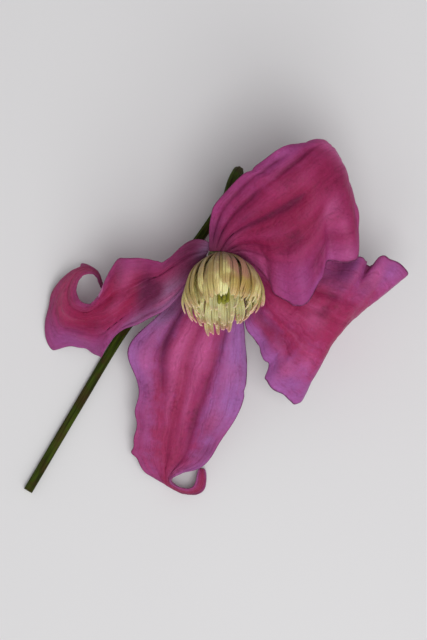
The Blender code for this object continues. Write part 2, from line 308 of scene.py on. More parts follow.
@dataclass(frozen=True)
class TepalFinish(Finish):
    """Colours of a tepal's inner and outer faces, and where its crimson bar and lilac margins lie."""

    blade: Colour = (0.31, 0.030, 0.135)
    bar: Colour = (0.28, 0.013, 0.075)
    lilac: Colour = (0.35, 0.075, 0.290)
    crimson: Colour = (0.29, 0.010, 0.060)
    # pink serves also as painted light on shaded curls and tips
    pink: Colour = (0.50, 0.090, 0.260)
    # the colour of painted shade under other pieces, in folds and in curls
    dusk: Colour = (0.110, 0.012, 0.060)
    # violet, which the right tepal darkens into a painted shade
    violet: Colour = (0.200, 0.090, 0.210)
    claw: Colour = (0.17, 0.050, 0.120)
    # groove is painted shade in the relief's grooves and hollows, and the colour of veins and dark streaks;
    # ridge is painted highlight on its ridges and swellings, and the colour of pale streaks
    groove: Colour = (0.130, 0.004, 0.040)
    ridge: Colour = (0.48, 0.080, 0.230)
    ridge_highlight_share: float = 0.55
    outer: Colour = (0.38, 0.110, 0.250)
    outer_bar: Colour = (0.30, 0.040, 0.100)
    rim: Colour = (0.15, 0.020, 0.070)
    bar_across: float = 0.0
    bar_width: float = 0.55
    lilac_a: float = 0.6
    lilac_b: float = 0.6
    claw_share: float = 0.16
    half_breadth_mm: float = 10.0
    length_mm: float = 55.0
    veins: int = 13

    def paint(self, paint: Painter, origin: Vector) -> None:
        """Two faces, from the relief and the tones laid on it, painted shade and highlight among them, with
        veins and a fine bump.
        """
        around, along = paint.surface()
        outside = around.rise(0.4999, 0.5001)
        across = 1.0 - abs(around * 4.0 - 2.0)
        place = paint.place(origin)
        threads = self.threads(paint, across, along)
        vein = self.vein_lines(paint, across, place)
        grain = paint.noise(place, 1.6, 4.0)
        patch = paint.noise(place, 0.42, 3.0, 0.6)

        inner = self.inner_face(paint, across, along, threads, patch)
        streaks = self.streaks(paint, across, along)
        inner = paint.coats(
            inner,
            (streaks.rise(0.54, 0.72) * 0.32, self.groove),
            (streaks.rise(0.46, 0.28) * 0.26, self.ridge),
            (vein * patch.rise(0.40, 0.62) * 0.24, self.groove),
        )
        behind = across.band(0.0, 0.30)
        outer = paint.coats(self.outer, (behind, self.outer_bar), (vein * 0.50, self.outer_bar))
        base = paint.mix(outside, inner, outer)

        cloud = paint.noise(place, 0.20, 3.0)
        mottle = (cloud - 0.5) * 0.9 + (grain - 0.5) * 1.0 + (threads - 0.5) * 0.9
        shade = paint.mix(1.0, base, self.tint(paint, mottle), "MULTIPLY")
        edge = abs(across + (grain - 0.5) * 0.05).rise(0.955, 1.0)
        shade = paint.mix(edge * patch.rise(0.36, 0.60) * 0.65, shade, self.rim)

        net = paint.cells(place, 1.15)
        pores = paint.cells(place, 7.0, "F1")
        height = net.rise(0.0, 0.10) * 0.25 + vein * -0.35 + grain * 0.35 + pores * 0.2 + threads * 0.9
        paint.shade(
            Base_Color=shade,
            Roughness=0.52 + (grain - 0.5) * 0.25 + vein * 0.06,
            Specular_IOR_Level=0.17,
            Sheen_Weight=0.05,
            Sheen_Roughness=0.4,
            Sheen_Tint=(0.95, 0.55, 0.85),
            Subsurface_Weight=0.10,
            Subsurface_Scale=0.0008,
            Subsurface_Radius=(1.0, 0.25, 0.55),
        )
        paint.bump(height, 0.13, 0.8)

    def inner_face(self, paint: Painter, across: Value, along: Value, threads: Value, patch: Value) -> Value:
        """The inner face's colour before its veins: bar, margins, claw, patches of tone, painted shade in the
        grooves and painted highlight on the ridges.
        """
        strayed = across + (threads - 0.5) * 0.55 + (patch - 0.5) * 0.75
        ragged = 0.45 + threads * 0.7 + patch * 0.4
        stain_or_painted_light = {tone: paint.attribute(tone.value) * ragged for tone in Tone}
        relief = paint.attribute(RELIEF)
        return paint.coats(
            self.blade,
            (strayed.band(self.bar_across, self.bar_width) * along.rise(0.02, 0.30), self.bar),
            (strayed.rise(-0.20, -0.95) * self.lilac_a, self.lilac),
            (strayed.rise(0.20, 0.95) * self.lilac_b, self.lilac),
            (along.rise(self.claw_share, 0.0) * 0.8, self.claw),
            # Crimson and lilac are the tepal's own; pink is partly painted light and violet partly painted
            # shade.
            (stain_or_painted_light[Tone.CRIMSON], self.crimson),
            (stain_or_painted_light[Tone.LILAC], self.lilac),
            (stain_or_painted_light[Tone.PINK], self.pink),
            (stain_or_painted_light[Tone.VIOLET], self.violet),
            # Painted shade in the relief's grooves and hollows, and painted highlight on its ridges and
            # swellings.
            (relief.rise(0.0, -1.0) * 0.90, self.groove),
            (relief.rise(0.0, 1.0) * self.ridge_highlight_share, self.ridge),
            # Painted shade, over everything else.
            (stain_or_painted_light[Tone.PAINTED_SHADE], self.dusk),
        )

    def tint(self, paint: Painter, mottle: Value) -> Value:
        """A multiplier near white that is darker in one cloud and brighter in the next."""
        dark = paint.mix(mottle.rise(0.0, -0.6), (1.0, 1.0, 1.0), (0.66, 0.52, 0.62))
        return paint.mix(mottle.rise(0.0, 0.6), dark, (1.26, 1.36, 1.34))

    def threads(self, paint: Painter, across: Value, along: Value) -> Value:
        """Long fine threads of colour that run from claw to tip, from 0 to 1."""
        stretched = paint.join(across * (self.half_breadth_mm * 0.55), along * (self.length_mm * 0.055), 0.0)
        return paint.noise(stretched, 1.0, 5.0, 0.62)

    def streaks(self, paint: Painter, across: Value, along: Value) -> Value:
        """Finer streaks of colour beside the threads, about 0.5."""
        stretched = paint.join(across * (self.half_breadth_mm * 1.5), along * (self.length_mm * 0.10), 9.0)
        return paint.noise(stretched, 1.0, 4.0, 0.65)

    def vein_lines(self, paint: Painter, across: Value, place: Value) -> Value:
        """Thin veins that run from claw to tip, with finer ones between them."""
        sway = (paint.noise(place, 0.30, 3.0) - 0.5) * 2.4
        main = paint.math("SINE", across * (self.veins * math.pi / 2.0) + sway * 1.6)
        fine = paint.math("SINE", across * (self.veins * math.pi * 1.5) + sway * 4.0)
        return paint.math("MINIMUM", main.rise(0.90, 1.0) + fine.rise(0.86, 1.0) * 0.5, 1.0)


@dataclass(frozen=True)
class Patch:
    """A patch of another colour on the stamens that are near one place in the flower."""

    colour: Colour
    at: Point
    size_mm: float


@dataclass(frozen=True)
class StrandFinish(Finish):
    """Colours of a stamen from its filament to its tip, and how much they vary."""

    foot: Colour = (0.24, 0.150, 0.095)
    middle: Colour = (0.50, 0.35, 0.180)
    anther: Colour = (0.82, 0.70, 0.300)
    tip: Colour = (0.90, 0.47, 0.450)
    fresh: Colour = (0.82, 0.82, 0.320)
    # faded is the colour of old strands, and painted shade on the strand behind each parting
    faded_and_gap_shade: Colour = (0.34, 0.24, 0.055)
    lining: Colour = (0.95, 0.90, 0.540)
    # split is painted shade at the sides of strands, where they meet, and the colour of the seam and of fine
    # dark specks
    split: Colour = (0.30, 0.20, 0.045)
    patches: Sequence[Patch] = (
        # The first patch is painted shade on the boss's left flank, which faces away from the key light.
        Patch((0.45, 0.33, 0.120), (-7.0, -5.0, 7.6), 3.1),
        Patch((0.30, 0.24, 0.050), (-4.0, -8.8, 8.0), 2.4),
        Patch((0.44, 0.33, 0.110), (0.9, -4.4, 10.4), 1.4),
        Patch((0.30, 0.22, 0.055), (3.8, -10.2, 6.4), 2.4),
        Patch((0.42, 0.27, 0.060), (4.4, -5.6, 9.2), 3.0),
        Patch((0.48, 0.22, 0.170), (3.8, -2.0, 8.0), 2.6),
    )
    fading_and_gap_shade: float = 0.60  # how far the oldest strands, and the strands shaded behind a parting, take the faded colour
    mouth_side: Point = (0.0, 0.47, 0.88)  # the side whose tips stay pale
    tip_place: float = 0.80  # along, where the tip's colour begins

    def paint(self, paint: Painter, origin: Vector) -> None:
        """From filament to tip, with patches by where in the flower it is."""
        around, along = paint.surface()
        place = paint.place(origin)
        cloud = paint.noise(place, 0.55, 3.0)
        grain = paint.noise(place, 5.0, 3.0)
        age = paint.attribute(AGE_AND_GAP_SHADE)
        lining = paint.math("SINE", around * (2.0 * math.pi)).rise(0.0, -0.6)
        base = paint.coats(
            self.foot,
            (along.rise(0.22, 0.60), self.middle),
            (along.rise(0.52, 0.88), self.anther),
            (cloud.rise(0.42, 0.68) * along * 0.8, self.fresh),
            # Faded strands, and painted shade on the strand behind each parting.
            (age.rise(0.40, 0.95) * self.fading_and_gap_shade, self.faded_and_gap_shade),
            (lining * along.rise(0.45, 0.75) * 0.7, self.lining),
        )
        ragged = (cloud - 0.5) * 3.0
        for patch in self.patches:
            near = (paint.distance(place, patch.at) + ragged).rise(patch.size_mm * 1.4, patch.size_mm * 0.6)
            base = paint.mix(near * 0.85, base, patch.colour)
        rosy = paint.dot(place, self.mouth_side).rise(3.0, -2.0) * 0.75 + 0.20
        lobe = abs(paint.math("COSINE", around * (2.0 * math.pi)))
        seam = lobe.rise(0.25, 0.0) * along.rise(0.30, 0.50)
        edge = lobe.rise(0.86, 1.0)
        # The sides of each strand take the split colour as painted shade where it meets its neighbours, and its
        # seam is darkened with it; fine specks take it too.
        base = paint.coats(
            base,
            (along.rise(self.tip_place, 1.0) * rosy, self.tip),
            (seam * 0.30 + edge * 0.30, self.split),
            (grain.rise(0.60, 0.35) * 0.22, self.split),
        )
        paint.shade(
            Base_Color=base,
            Roughness=0.62 + (grain - 0.5) * 0.2,
            Specular_IOR_Level=0.25,
            Sheen_Weight=0.1,
            Subsurface_Weight=0.20,
            Subsurface_Scale=0.0008,
            Subsurface_Radius=(1.0, 0.75, 0.3),
        )
        paint.bump(grain * 0.7 + seam * -0.6, 0.08, 0.8)


@dataclass(frozen=True)
class PistilFinish(Finish):
    """Colours of a pistil from its ovary to its stigma."""

    foot: Colour = (0.20, 0.24, 0.060)
    style: Colour = (0.33, 0.34, 0.045)
    stigma: Colour = (0.26, 0.26, 0.014)
    down: Colour = (0.46, 0.48, 0.090)

    def paint(self, paint: Painter, origin: Vector) -> None:
        """From ovary to stigma, streaked with the silky down of a style."""
        around, along = paint.surface()
        place = paint.place(origin)
        streaks = paint.noise(paint.join(around * 14.0, along * 5.0, 0.0), 1.0, 3.0)
        grain = paint.noise(place, 6.0, 2.0)
        base = paint.coats(
            self.foot,
            (along.rise(0.1, 0.6), self.style),
            (along.rise(0.78, 0.92), self.stigma),
            (streaks.rise(0.48, 0.70) * along.rise(0.95, 0.75) * 0.6, self.down),
        )
        paint.shade(
            Base_Color=base,
            Roughness=0.55 + (grain - 0.5) * 0.2,
            Specular_IOR_Level=0.35,
            Sheen_Weight=0.15,
            Subsurface_Weight=0.15,
            Subsurface_Scale=0.0006,
            Subsurface_Radius=(0.7, 1.0, 0.3),
        )
        paint.bump(streaks * 0.6 + grain * 0.4, 0.10, 0.8)


@dataclass(frozen=True)
class StalkFinish(Finish):
    """Colours of the pedicel: its sunny and shaded streaks, its purple flush and its cut end."""

    green: Colour = (0.046, 0.070, 0.006)
    dark: Colour = (0.018, 0.024, 0.003)
    flush: Colour = (0.050, 0.022, 0.009)
    collar: Colour = (0.200, 0.220, 0.080)
    hair: Colour = (0.095, 0.110, 0.018)
    cut: Colour = (0.330, 0.380, 0.170)
    pith: Colour = (0.560, 0.580, 0.380)
    flush_share: float = 0.55

    def paint(self, paint: Painter, origin: Vector) -> None:
        """The skin of the stalk, streaked and slightly hairy."""
        around, along = paint.surface()
        place = paint.place(origin)
        streaks = paint.noise(paint.join(around * 9.0, along * 16.0, 3.0), 1.0, 3.0)
        cloud = paint.noise(place, 0.30, 2.0)
        fuzz = paint.noise(place, 6.0, 3.0, 0.7)
        base = paint.coats(
            self.dark,
            (streaks.rise(0.35, 0.62), self.green),
            (cloud.rise(0.42, 0.66) * self.flush_share, self.flush),
            (along.rise(0.14, 0.0) * 0.8, self.collar),
            (fuzz.rise(0.60, 0.78) * 0.35, self.hair),
        )
        paint.shade(Base_Color=base, Roughness=0.52 + (fuzz - 0.5) * 0.3, Specular_IOR_Level=0.05)
        paint.bump(streaks * 0.5 + fuzz * 0.6, 0.10, 0.9)

    def make_cut(self, name: str, origin: Vector) -> bpy.types.Material:
        """Builds the material of the cut end, pale round the pith and darker at the skin."""
        paint = Painter(name)
        around, _ = paint.surface()
        place = paint.place(origin)
        fibre = paint.noise(place, 7.0, 3.0)
        base = paint.coats(
            self.pith,
            (around.rise(0.45, 0.75), self.cut),
            (around.rise(0.85, 1.0), self.green),
            (fibre.rise(0.52, 0.70) * 0.35, self.dark),
        )
        paint.shade(Base_Color=base, Roughness=0.6 + (fibre - 0.5) * 0.2, Specular_IOR_Level=0.4)
        paint.bump(fibre, 0.06, 0.8)
        return paint.material


@dataclass(frozen=True)
class ReceptacleFinish(Finish):
    """Colours of the receptacle between the claws and the filaments."""

    green: Colour = (0.20, 0.23, 0.070)
    shadow: Colour = (0.090, 0.080, 0.035)

    def paint(self, paint: Painter, origin: Vector) -> None:
        """Pitted and mottled."""
        place = paint.place(origin)
        cloud = paint.noise(place, 1.2, 3.0)
        pits = paint.cells(place, 2.4)
        base = paint.coats(
            self.green, (cloud.rise(0.60, 0.35), self.shadow), (pits.rise(0.10, 0.0) * 0.6, self.shadow)
        )
        paint.shade(Base_Color=base, Roughness=0.6 + (cloud - 0.5) * 0.2, Specular_IOR_Level=0.35)
        paint.bump(pits.rise(0.0, 0.2) * 0.7 + cloud * 0.3, 0.12, 0.9)


@dataclass(frozen=True)
class TableFinish(Finish):
    """The plain pale table under the flower."""

    pale: Colour = (0.735, 0.730, 0.738)
    paler: Colour = (0.765, 0.762, 0.768)

    def paint(self, paint: Painter, origin: Vector) -> None:
        """Matt and very slightly uneven."""
        cloud = paint.noise(paint.place(origin), 0.01, 2.0)
        base = paint.mix(cloud, self.pale, self.paler)
        paint.shade(Base_Color=base, Roughness=0.85, Specular_IOR_Level=0.2)


# --- shapes and lines ---


def smooth_line(knots: Sequence[Point], places: np.ndarray) -> np.ndarray:
    """Points of the natural cubic spline through evenly spaced knots.

    Args:
        knots: the points that the line goes through.
        places: where along the line each point is wanted, from 0 to 1.

    Returns:
        An array of one point for each place.
    """
    line = np.array(knots, float)
    last = len(line) - 1
    system = np.eye(last + 1)
    bends = np.zeros_like(line)
    for i in range(1, last):
        system[i, i - 1 : i + 2] = (1.0, 4.0, 1.0)
        bends[i] = 6.0 * (line[i - 1] - 2.0 * line[i] + line[i + 1])
    bends = np.linalg.solve(system, bends)
    span = np.minimum((places * last).astype(int), last - 1)
    ahead = (places * last - span)[:, None]
    behind = 1.0 - ahead
    curved = (behind**3 - behind) * bends[span] + (ahead**3 - ahead) * bends[span + 1]
    return behind * line[span] + ahead * line[span + 1] + curved / 6.0


def unit(vectors: np.ndarray) -> np.ndarray:
    """The vectors at length one."""
    return vectors / np.maximum(np.linalg.norm(vectors, axis=-1, keepdims=True), 1e-9)


def window(places: np.ndarray, first: float, last: float, fade: float) -> np.ndarray:
    """1 between first and last, fading smoothly to 0 over fade at either end.

    Args:
        places: where the window is wanted.
        first: the place where it has opened fully.
        last: the place where it starts to close.
        fade: how far beyond them it takes to close.

    Returns:
        The window's opening at each place.
    """
    opened = np.clip((places - first + fade) / fade, 0.0, 1.0)
    closed = np.clip((last + fade - places) / fade, 0.0, 1.0)
    share = np.minimum(opened, closed)
    return share * share * (3.0 - 2.0 * share)


def uneven(seed: float) -> float:
    """A fixed number from -1 to 1 that differs from seed to seed."""
    return math.sin(seed * UNEVEN_TURNS[0]) * math.cos(seed * UNEVEN_TURNS[1])


def rough(across: np.ndarray, along: np.ndarray, seed: float, octaves: int) -> np.ndarray:
    """Smooth fixed noise over a grid of places given in features.

    Args:
        across: the first place of each point.
        along: the second place of each point.
        seed: which noise it is.
        octaves: how many finer layers are added.

    Returns:
        The noise, about -1 to 1.
    """
    fall, gap = 1.0, 2.0  # how fast finer layers fade, and how much finer each is
    found = [
        noise.fractal(Vector((x, y, seed)), fall, gap, octaves, noise_basis="PERLIN_ORIGINAL")
        for x, y in zip(across.ravel(), along.ravel())
    ]
    return np.array(found).reshape(across.shape)


def facing(origin: Vector) -> Matrix:
    """The place and the turn of what stands along the flower's own axis."""
    return Matrix.Translation(origin) @ Matrix.Rotation(math.radians(FACE_TILT_DEG), 4, "X")


def wrapped_grid(
    sides: int, rows: int, place: Callable[[int, int], Placed], marks: Sequence[str] = ()
) -> bmesh.types.BMesh:
    """A grid closed round into a skin, with the piece's UV map and marks on it.

    Args:
        sides: faces round the piece.
        rows: faces along it.
        place: gives the point in millimetres and each mark's value for a step round and a step along.
        marks: names of the attributes that hold the values.

    Returns:
        The skin, its seam merged. An end closes by itself where place brings its row together.
    """
    bm = bmesh.new()
    bmesh.ops.create_grid(bm, x_segments=sides, y_segments=rows, size=0.5)
    surface = bm.loops.layers.uv.new(SURFACE_MAP)
    layers = [bm.verts.layers.float.new(mark) for mark in marks]
    for face in bm.faces:
        for loop in face.loops:
            loop[surface].uv = (loop.vert.co.x + 0.5, loop.vert.co.y + 0.5)
    for vert in bm.verts:
        point, values = place(round((vert.co.x + 0.5) * sides), round((vert.co.y + 0.5) * rows))
        vert.co = Vector(point) * MM
        for layer, value in zip(layers, values):
            vert[layer] = value
    bmesh.ops.remove_doubles(bm, verts=bm.verts, dist=MERGE_MM * MM)
    # A corner that only two faces share would leave a flap with no thickness.
    corners = [vert for vert in bm.verts if len(vert.link_edges) == 2 and not vert.is_boundary]
    bmesh.ops.dissolve_verts(bm, verts=corners)
    return bm


def close_holes(bm: bmesh.types.BMesh) -> list[bmesh.types.BMFace]:
    """Puts a face on every open end, and gives those faces."""
    edges = [edge for edge in bm.edges if edge.is_boundary]
    return bmesh.ops.holes_fill(bm, edges=edges, sides=0)["faces"]


def finished(
    name: str,
    bm: bmesh.types.BMesh,
    at: Matrix,
    materials: Sequence[bpy.types.Material],
    nodes: Sequence[str],
) -> bpy.types.Object:
    """Turns a bmesh into a smooth piece that rides on the flower in the place of its solid.

    Args:
        name: the piece's name.
        bm: its shape, in metres, about the middle of the receptacle.
        at: where the shape goes.
        materials: its materials, in slot order.
        nodes: the solids that it stands for.

    Returns:
        The new object, at the origin, with its place in its mesh.
    """
    bmesh.ops.transform(bm, matrix=at, verts=bm.verts)
    bmesh.ops.recalc_face_normals(bm, faces=bm.faces)
    mesh = bpy.data.meshes.new(name)
    bm.to_mesh(mesh)
    bm.free()
    mesh.shade_smooth()
    for material in materials:
        mesh.materials.append(material)
    piece = bpy.data.objects.new(name, mesh)
    bpy.context.scene.collection.objects.link(piece)
    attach(piece, BODY)
    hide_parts(*nodes)
    LOG.info("%s: %d faces, in the place of %s", name, len(mesh.polygons), ", ".join(nodes) or "no solid")
    return piece


# --- tepals ---


class Margin(Enum):
    """The two margins of a tepal, by their side across it."""

    A = -1
    B = 1


@dataclass(frozen=True)
class Fold:
    """A ridge along a tepal, or a groove where its height is negative."""

    start: float  # across, at its first end
    end: float  # across, at its last end
    first: float  # along, where it stands at full height
    last: float
    width: float  # share of the half breadth
    height: float  # mm
    fade: float = 0.12  # along


@dataclass(frozen=True)
class Dent:
    """A rounded swelling of the sheet, or a hollow where its height is negative."""

    across: float
    along: float
    half_breadth: float  # share of the half breadth
    half_length: float  # share of the length
    height: float  # mm
    lean: float = 0.0  # how far across it drifts in one length


@dataclass(frozen=True)
class Nick:
    """A place where a margin stands out, or is cut in where its reach is negative."""

    margin: Margin
    place: float  # along
    spread: float  # along
    reach: float  # mm


@dataclass(frozen=True)
class Ripple:
    """Waves that run along one margin and die out towards the midrib."""

    margin: Margin
    first: float
    last: float
    waves: float
    height: float  # mm
    phase: float = 0.0


@dataclass(frozen=True)
class StainOrPaintedLight:
    """A soft patch of one tone on the inner face, whether of the tepal's own colour, of painted shade or of
    painted light.
    """

    tone: Tone
    across: float
    along: float
    half_breadth: float  # share of the half breadth
    half_length: float  # share of the length
    strength: float = 1.0
    lean: float = 0.0  # how far across it drifts in one length


@dataclass
class Tepal:
    """One recurved tepal: a thin blade through two margins and a midrib, with its relief and its patches of
    colour, painted shade and painted light.
    """

    name: str
    margin_a: Sequence[Point]
    midrib: Sequence[Point]
    margin_b: Sequence[Point]
    finish: TepalFinish
    folds: Sequence[Fold] = ()
    dents: Sequence[Dent] = ()
    nicks: Sequence[Nick] = ()
    ripples: Sequence[Ripple] = ()
    stains_and_painted_light: Sequence[StainOrPaintedLight] = ()
    seed: float = 0.0
    thickness: float = 0.42  # at its middle, mm
    edge_power: int = 5  # how late it thins towards a margin
    end_power: int = 60  # how late it thins towards an end
    rib: float = 0.10  # how far the ribs stand out of the back, mm
    rib_places: Row = (-0.42, 0.0, 0.42)  # across
    rib_width: float = 0.07  # share of the half breadth
    rib_loss: float = 0.7  # share of its height that a rib loses on its way to the tip
    pucker: float = 0.09  # height of the fine puckers, mm
    pucker_swell: float = 2.2  # how much higher the broad ones are
    ripple_power: float = 2.2  # how fast ripples die out towards the midrib
    ripple_fade: float = 0.06  # along
    tip_share: float = 0.06  # share of the length over which it narrows to its tip
    tip_breadth: float = 0.25  # share of the breadth that is left at the tip
    columns: int = 64
    crowding: float = 0.35  # how much the columns crowd towards the margins
    rows: int = 210

    def grid(self) -> tuple[np.ndarray, np.ndarray]:
        """Places across and along for every point of one face."""
        crowded = np.sin(np.linspace(-math.pi / 2.0, math.pi / 2.0, self.columns + 1))
        even = np.linspace(-1.0, 1.0, self.columns + 1)
        across = self.crowding * crowded + (1.0 - self.crowding) * even
        along = np.linspace(0.0, 1.0, self.rows + 1)
        return np.meshgrid(across, along)

    def blade(self) -> np.ndarray:
        """The middle sheet of the tepal before its relief, as rows of points."""
        across, along = self.grid()
        places = along[:, 0]
        rib = smooth_line(self.midrib, places)
        margins = {Margin.A: smooth_line(self.margin_a, places), Margin.B: smooth_line(self.margin_b, places)}
        for nick in self.nicks:
            line = margins[nick.margin]
            outward = unit(line - rib)
            line += outward * nick.reach * np.exp(-(((places - nick.place) / nick.spread) ** 2))[:, None]
        side = across * self.narrowing(along)
        near_a = side * (side - 1.0) / 2.0
        near_b = side * (side + 1.0) / 2.0
        near_rib = 1.0 - side**2
        return (
            near_a[..., None] * margins[Margin.A][:, None]
            + near_rib[..., None] * rib[:, None]
            + near_b[..., None] * margins[Margin.B][:, None]
        )

    def narrowing(self, along: np.ndarray) -> np.ndarray:
        """How much of its breadth the tepal keeps, which falls away round its tip."""
        past = np.clip((along - 1.0 + self.tip_share) / self.tip_share, 0.0, 1.0)
        return self.tip_breadth + (1.0 - self.tip_breadth) * np.sqrt(np.maximum(1.0 - past**2, 0.0))

    def relief(self) -> np.ndarray:
        """How far the folds and dents lift or sink the sheet, in millimetres."""
        across, along = self.grid()
        height = np.zeros_like(across)
        for fold in self.folds:
            share = np.clip((along - fold.first) / max(fold.last - fold.first, 1e-6), 0.0, 1.0)
            middle = fold.start + (fold.end - fold.start) * share
            shape = np.exp(-(((across - middle) / fold.width) ** 2))
            height += fold.height * shape * window(along, fold.first, fold.last, fold.fade)
        return height + sum(dent.height * self.spot(dent) for dent in self.dents)

    def spot(self, patch: Union[Dent, StainOrPaintedLight]) -> np.ndarray:
        """How strongly a soft patch shows at each point, from 0 to 1."""
        across, along = self.grid()
        aside = across - patch.across - patch.lean * (along - patch.along)
        return np.exp(-((aside / patch.half_breadth) ** 2) - ((along - patch.along) / patch.half_length) ** 2)

    def tones(self) -> list[np.ndarray]:
        """How strongly each tone, painted shade and light among them, covers each point, from 0 to 1."""
        strengths = {tone: np.zeros((self.rows + 1, self.columns + 1)) for tone in Tone}
        for stain_or_painted_light in self.stains_and_painted_light:
            strengths[stain_or_painted_light.tone] += stain_or_painted_light.strength * self.spot(stain_or_painted_light)
        return [np.clip(strengths[tone], 0.0, 1.0) for tone in Tone]

    def waves(self) -> np.ndarray:
        """How far the margins' ripples and the fine puckers lift the sheet, in millimetres."""
        across, along = self.grid()
        height = np.zeros_like(across)
        for ripple in self.ripples:
            near = np.clip(across * ripple.margin.value, 0.0, 1.0) ** self.ripple_power
            turn = 2.0 * math.pi * (ripple.waves * (along - ripple.first) / (ripple.last - ripple.first))
            swing = near * np.sin(turn + ripple.phase)
            height += ripple.height * swing * window(along, ripple.first, ripple.last, self.ripple_fade)
        size = self.finish
        # The factors are features to a millimetre, across and along. The claw stays smooth.
        broad = rough(across * size.half_breadth_mm * 0.30, along * size.length_mm * 0.22, self.seed, 2)
        fine = rough(across * size.half_breadth_mm * 1.1, along * size.length_mm * 0.75, self.seed + 7.0, 2)
        settled = window(along, 0.12, 1.0, 0.12)
        return height + self.pucker * settled * (self.pucker_swell * broad + fine)

    def sheets(self, axis: Vector) -> tuple[np.ndarray, np.ndarray, np.ndarray]:
        """The inner and outer faces and the relief on them.

        Args:
            axis: the way the flower faces, which tells the inner face from the outer one.

        Returns:
            Inner points, outer points and relief, as arrays of rows.
        """
        across, along = self.grid()
        sheet = self.blade()
        relief = self.relief()
        normals = self.normals(sheet, axis)
        sheet = sheet + normals * (relief + self.waves())[..., None]
        normals = self.normals(sheet, axis)
        edge = np.sqrt(np.maximum(1.0 - np.abs(across) ** self.edge_power, 0.0))
        tip = np.clip(1.0 - along**self.end_power, 0.0, 1.0)
        foot = np.clip(1.0 - (1.0 - along) ** self.end_power, 0.0, 1.0)
        ends = np.sqrt(tip * foot)
        half = 0.5 * self.thickness * edge * ends
        ribs = sum(np.exp(-(((across - middle) / self.rib_width) ** 2)) for middle in self.rib_places)
        behind = half + self.rib * ribs * edge * ends * (1.0 - self.rib_loss * along)
        return sheet + normals * half[..., None], sheet - normals * behind[..., None], relief

    def normals(self, sheet: np.ndarray, axis: Vector) -> np.ndarray:
        """Directions out of the sheet, on its inner side."""
        found = unit(np.cross(np.gradient(sheet, axis=0), np.gradient(sheet, axis=1)))
        # Before it curls, the blade's inner side faces the way that the flower does.
        early = found[self.rows // 12 : self.rows // 4].reshape(-1, 3).mean(axis=0)
        return found if float(early @ np.array(axis)) > 0.0 else -found

    def build(self, origin: Vector, axis: Vector) -> bpy.types.Object:
        """Makes the piece.

        Args:
            origin: the middle of the receptacle, in metres.
            axis: the way the flower faces.

        Returns:
            The tepal, dressed.
        """
        inner, outer, relief = self.sheets(axis)
        marks = np.stack([relief / max(float(np.abs(relief).max()), 1e-6), *self.tones()], axis=-1)
        last = 2 * self.columns

        def place(around: int, along: int) -> Placed:
            """The point on one face or the other, and its marks."""
            face, column = (inner, around) if around <= self.columns else (outer, last - around)
            return face[along, column], marks[along, column]

        bm = wrapped_grid(last, self.rows, place, TEPAL_MARKS)
        finish = self.finish.make(f"{self.name}_finish", origin)
        return finished(f"{self.name}_blade", bm, Matrix.Translation(origin), [finish], [self.name])


def each(kind: Callable[..., Kind], *rows: Row) -> list[Kind]:
    """One thing of a kind from each row of its numbers."""
    return [kind(*row) for row in rows]


def under(kind: Callable[..., Kind], groups: Mapping[Enum, Sequence[Row]]) -> list[Kind]:
    """One thing of a kind from each row of numbers under its margin or tone."""
    return [kind(head, *row) for head, rows in groups.items() for row in rows]


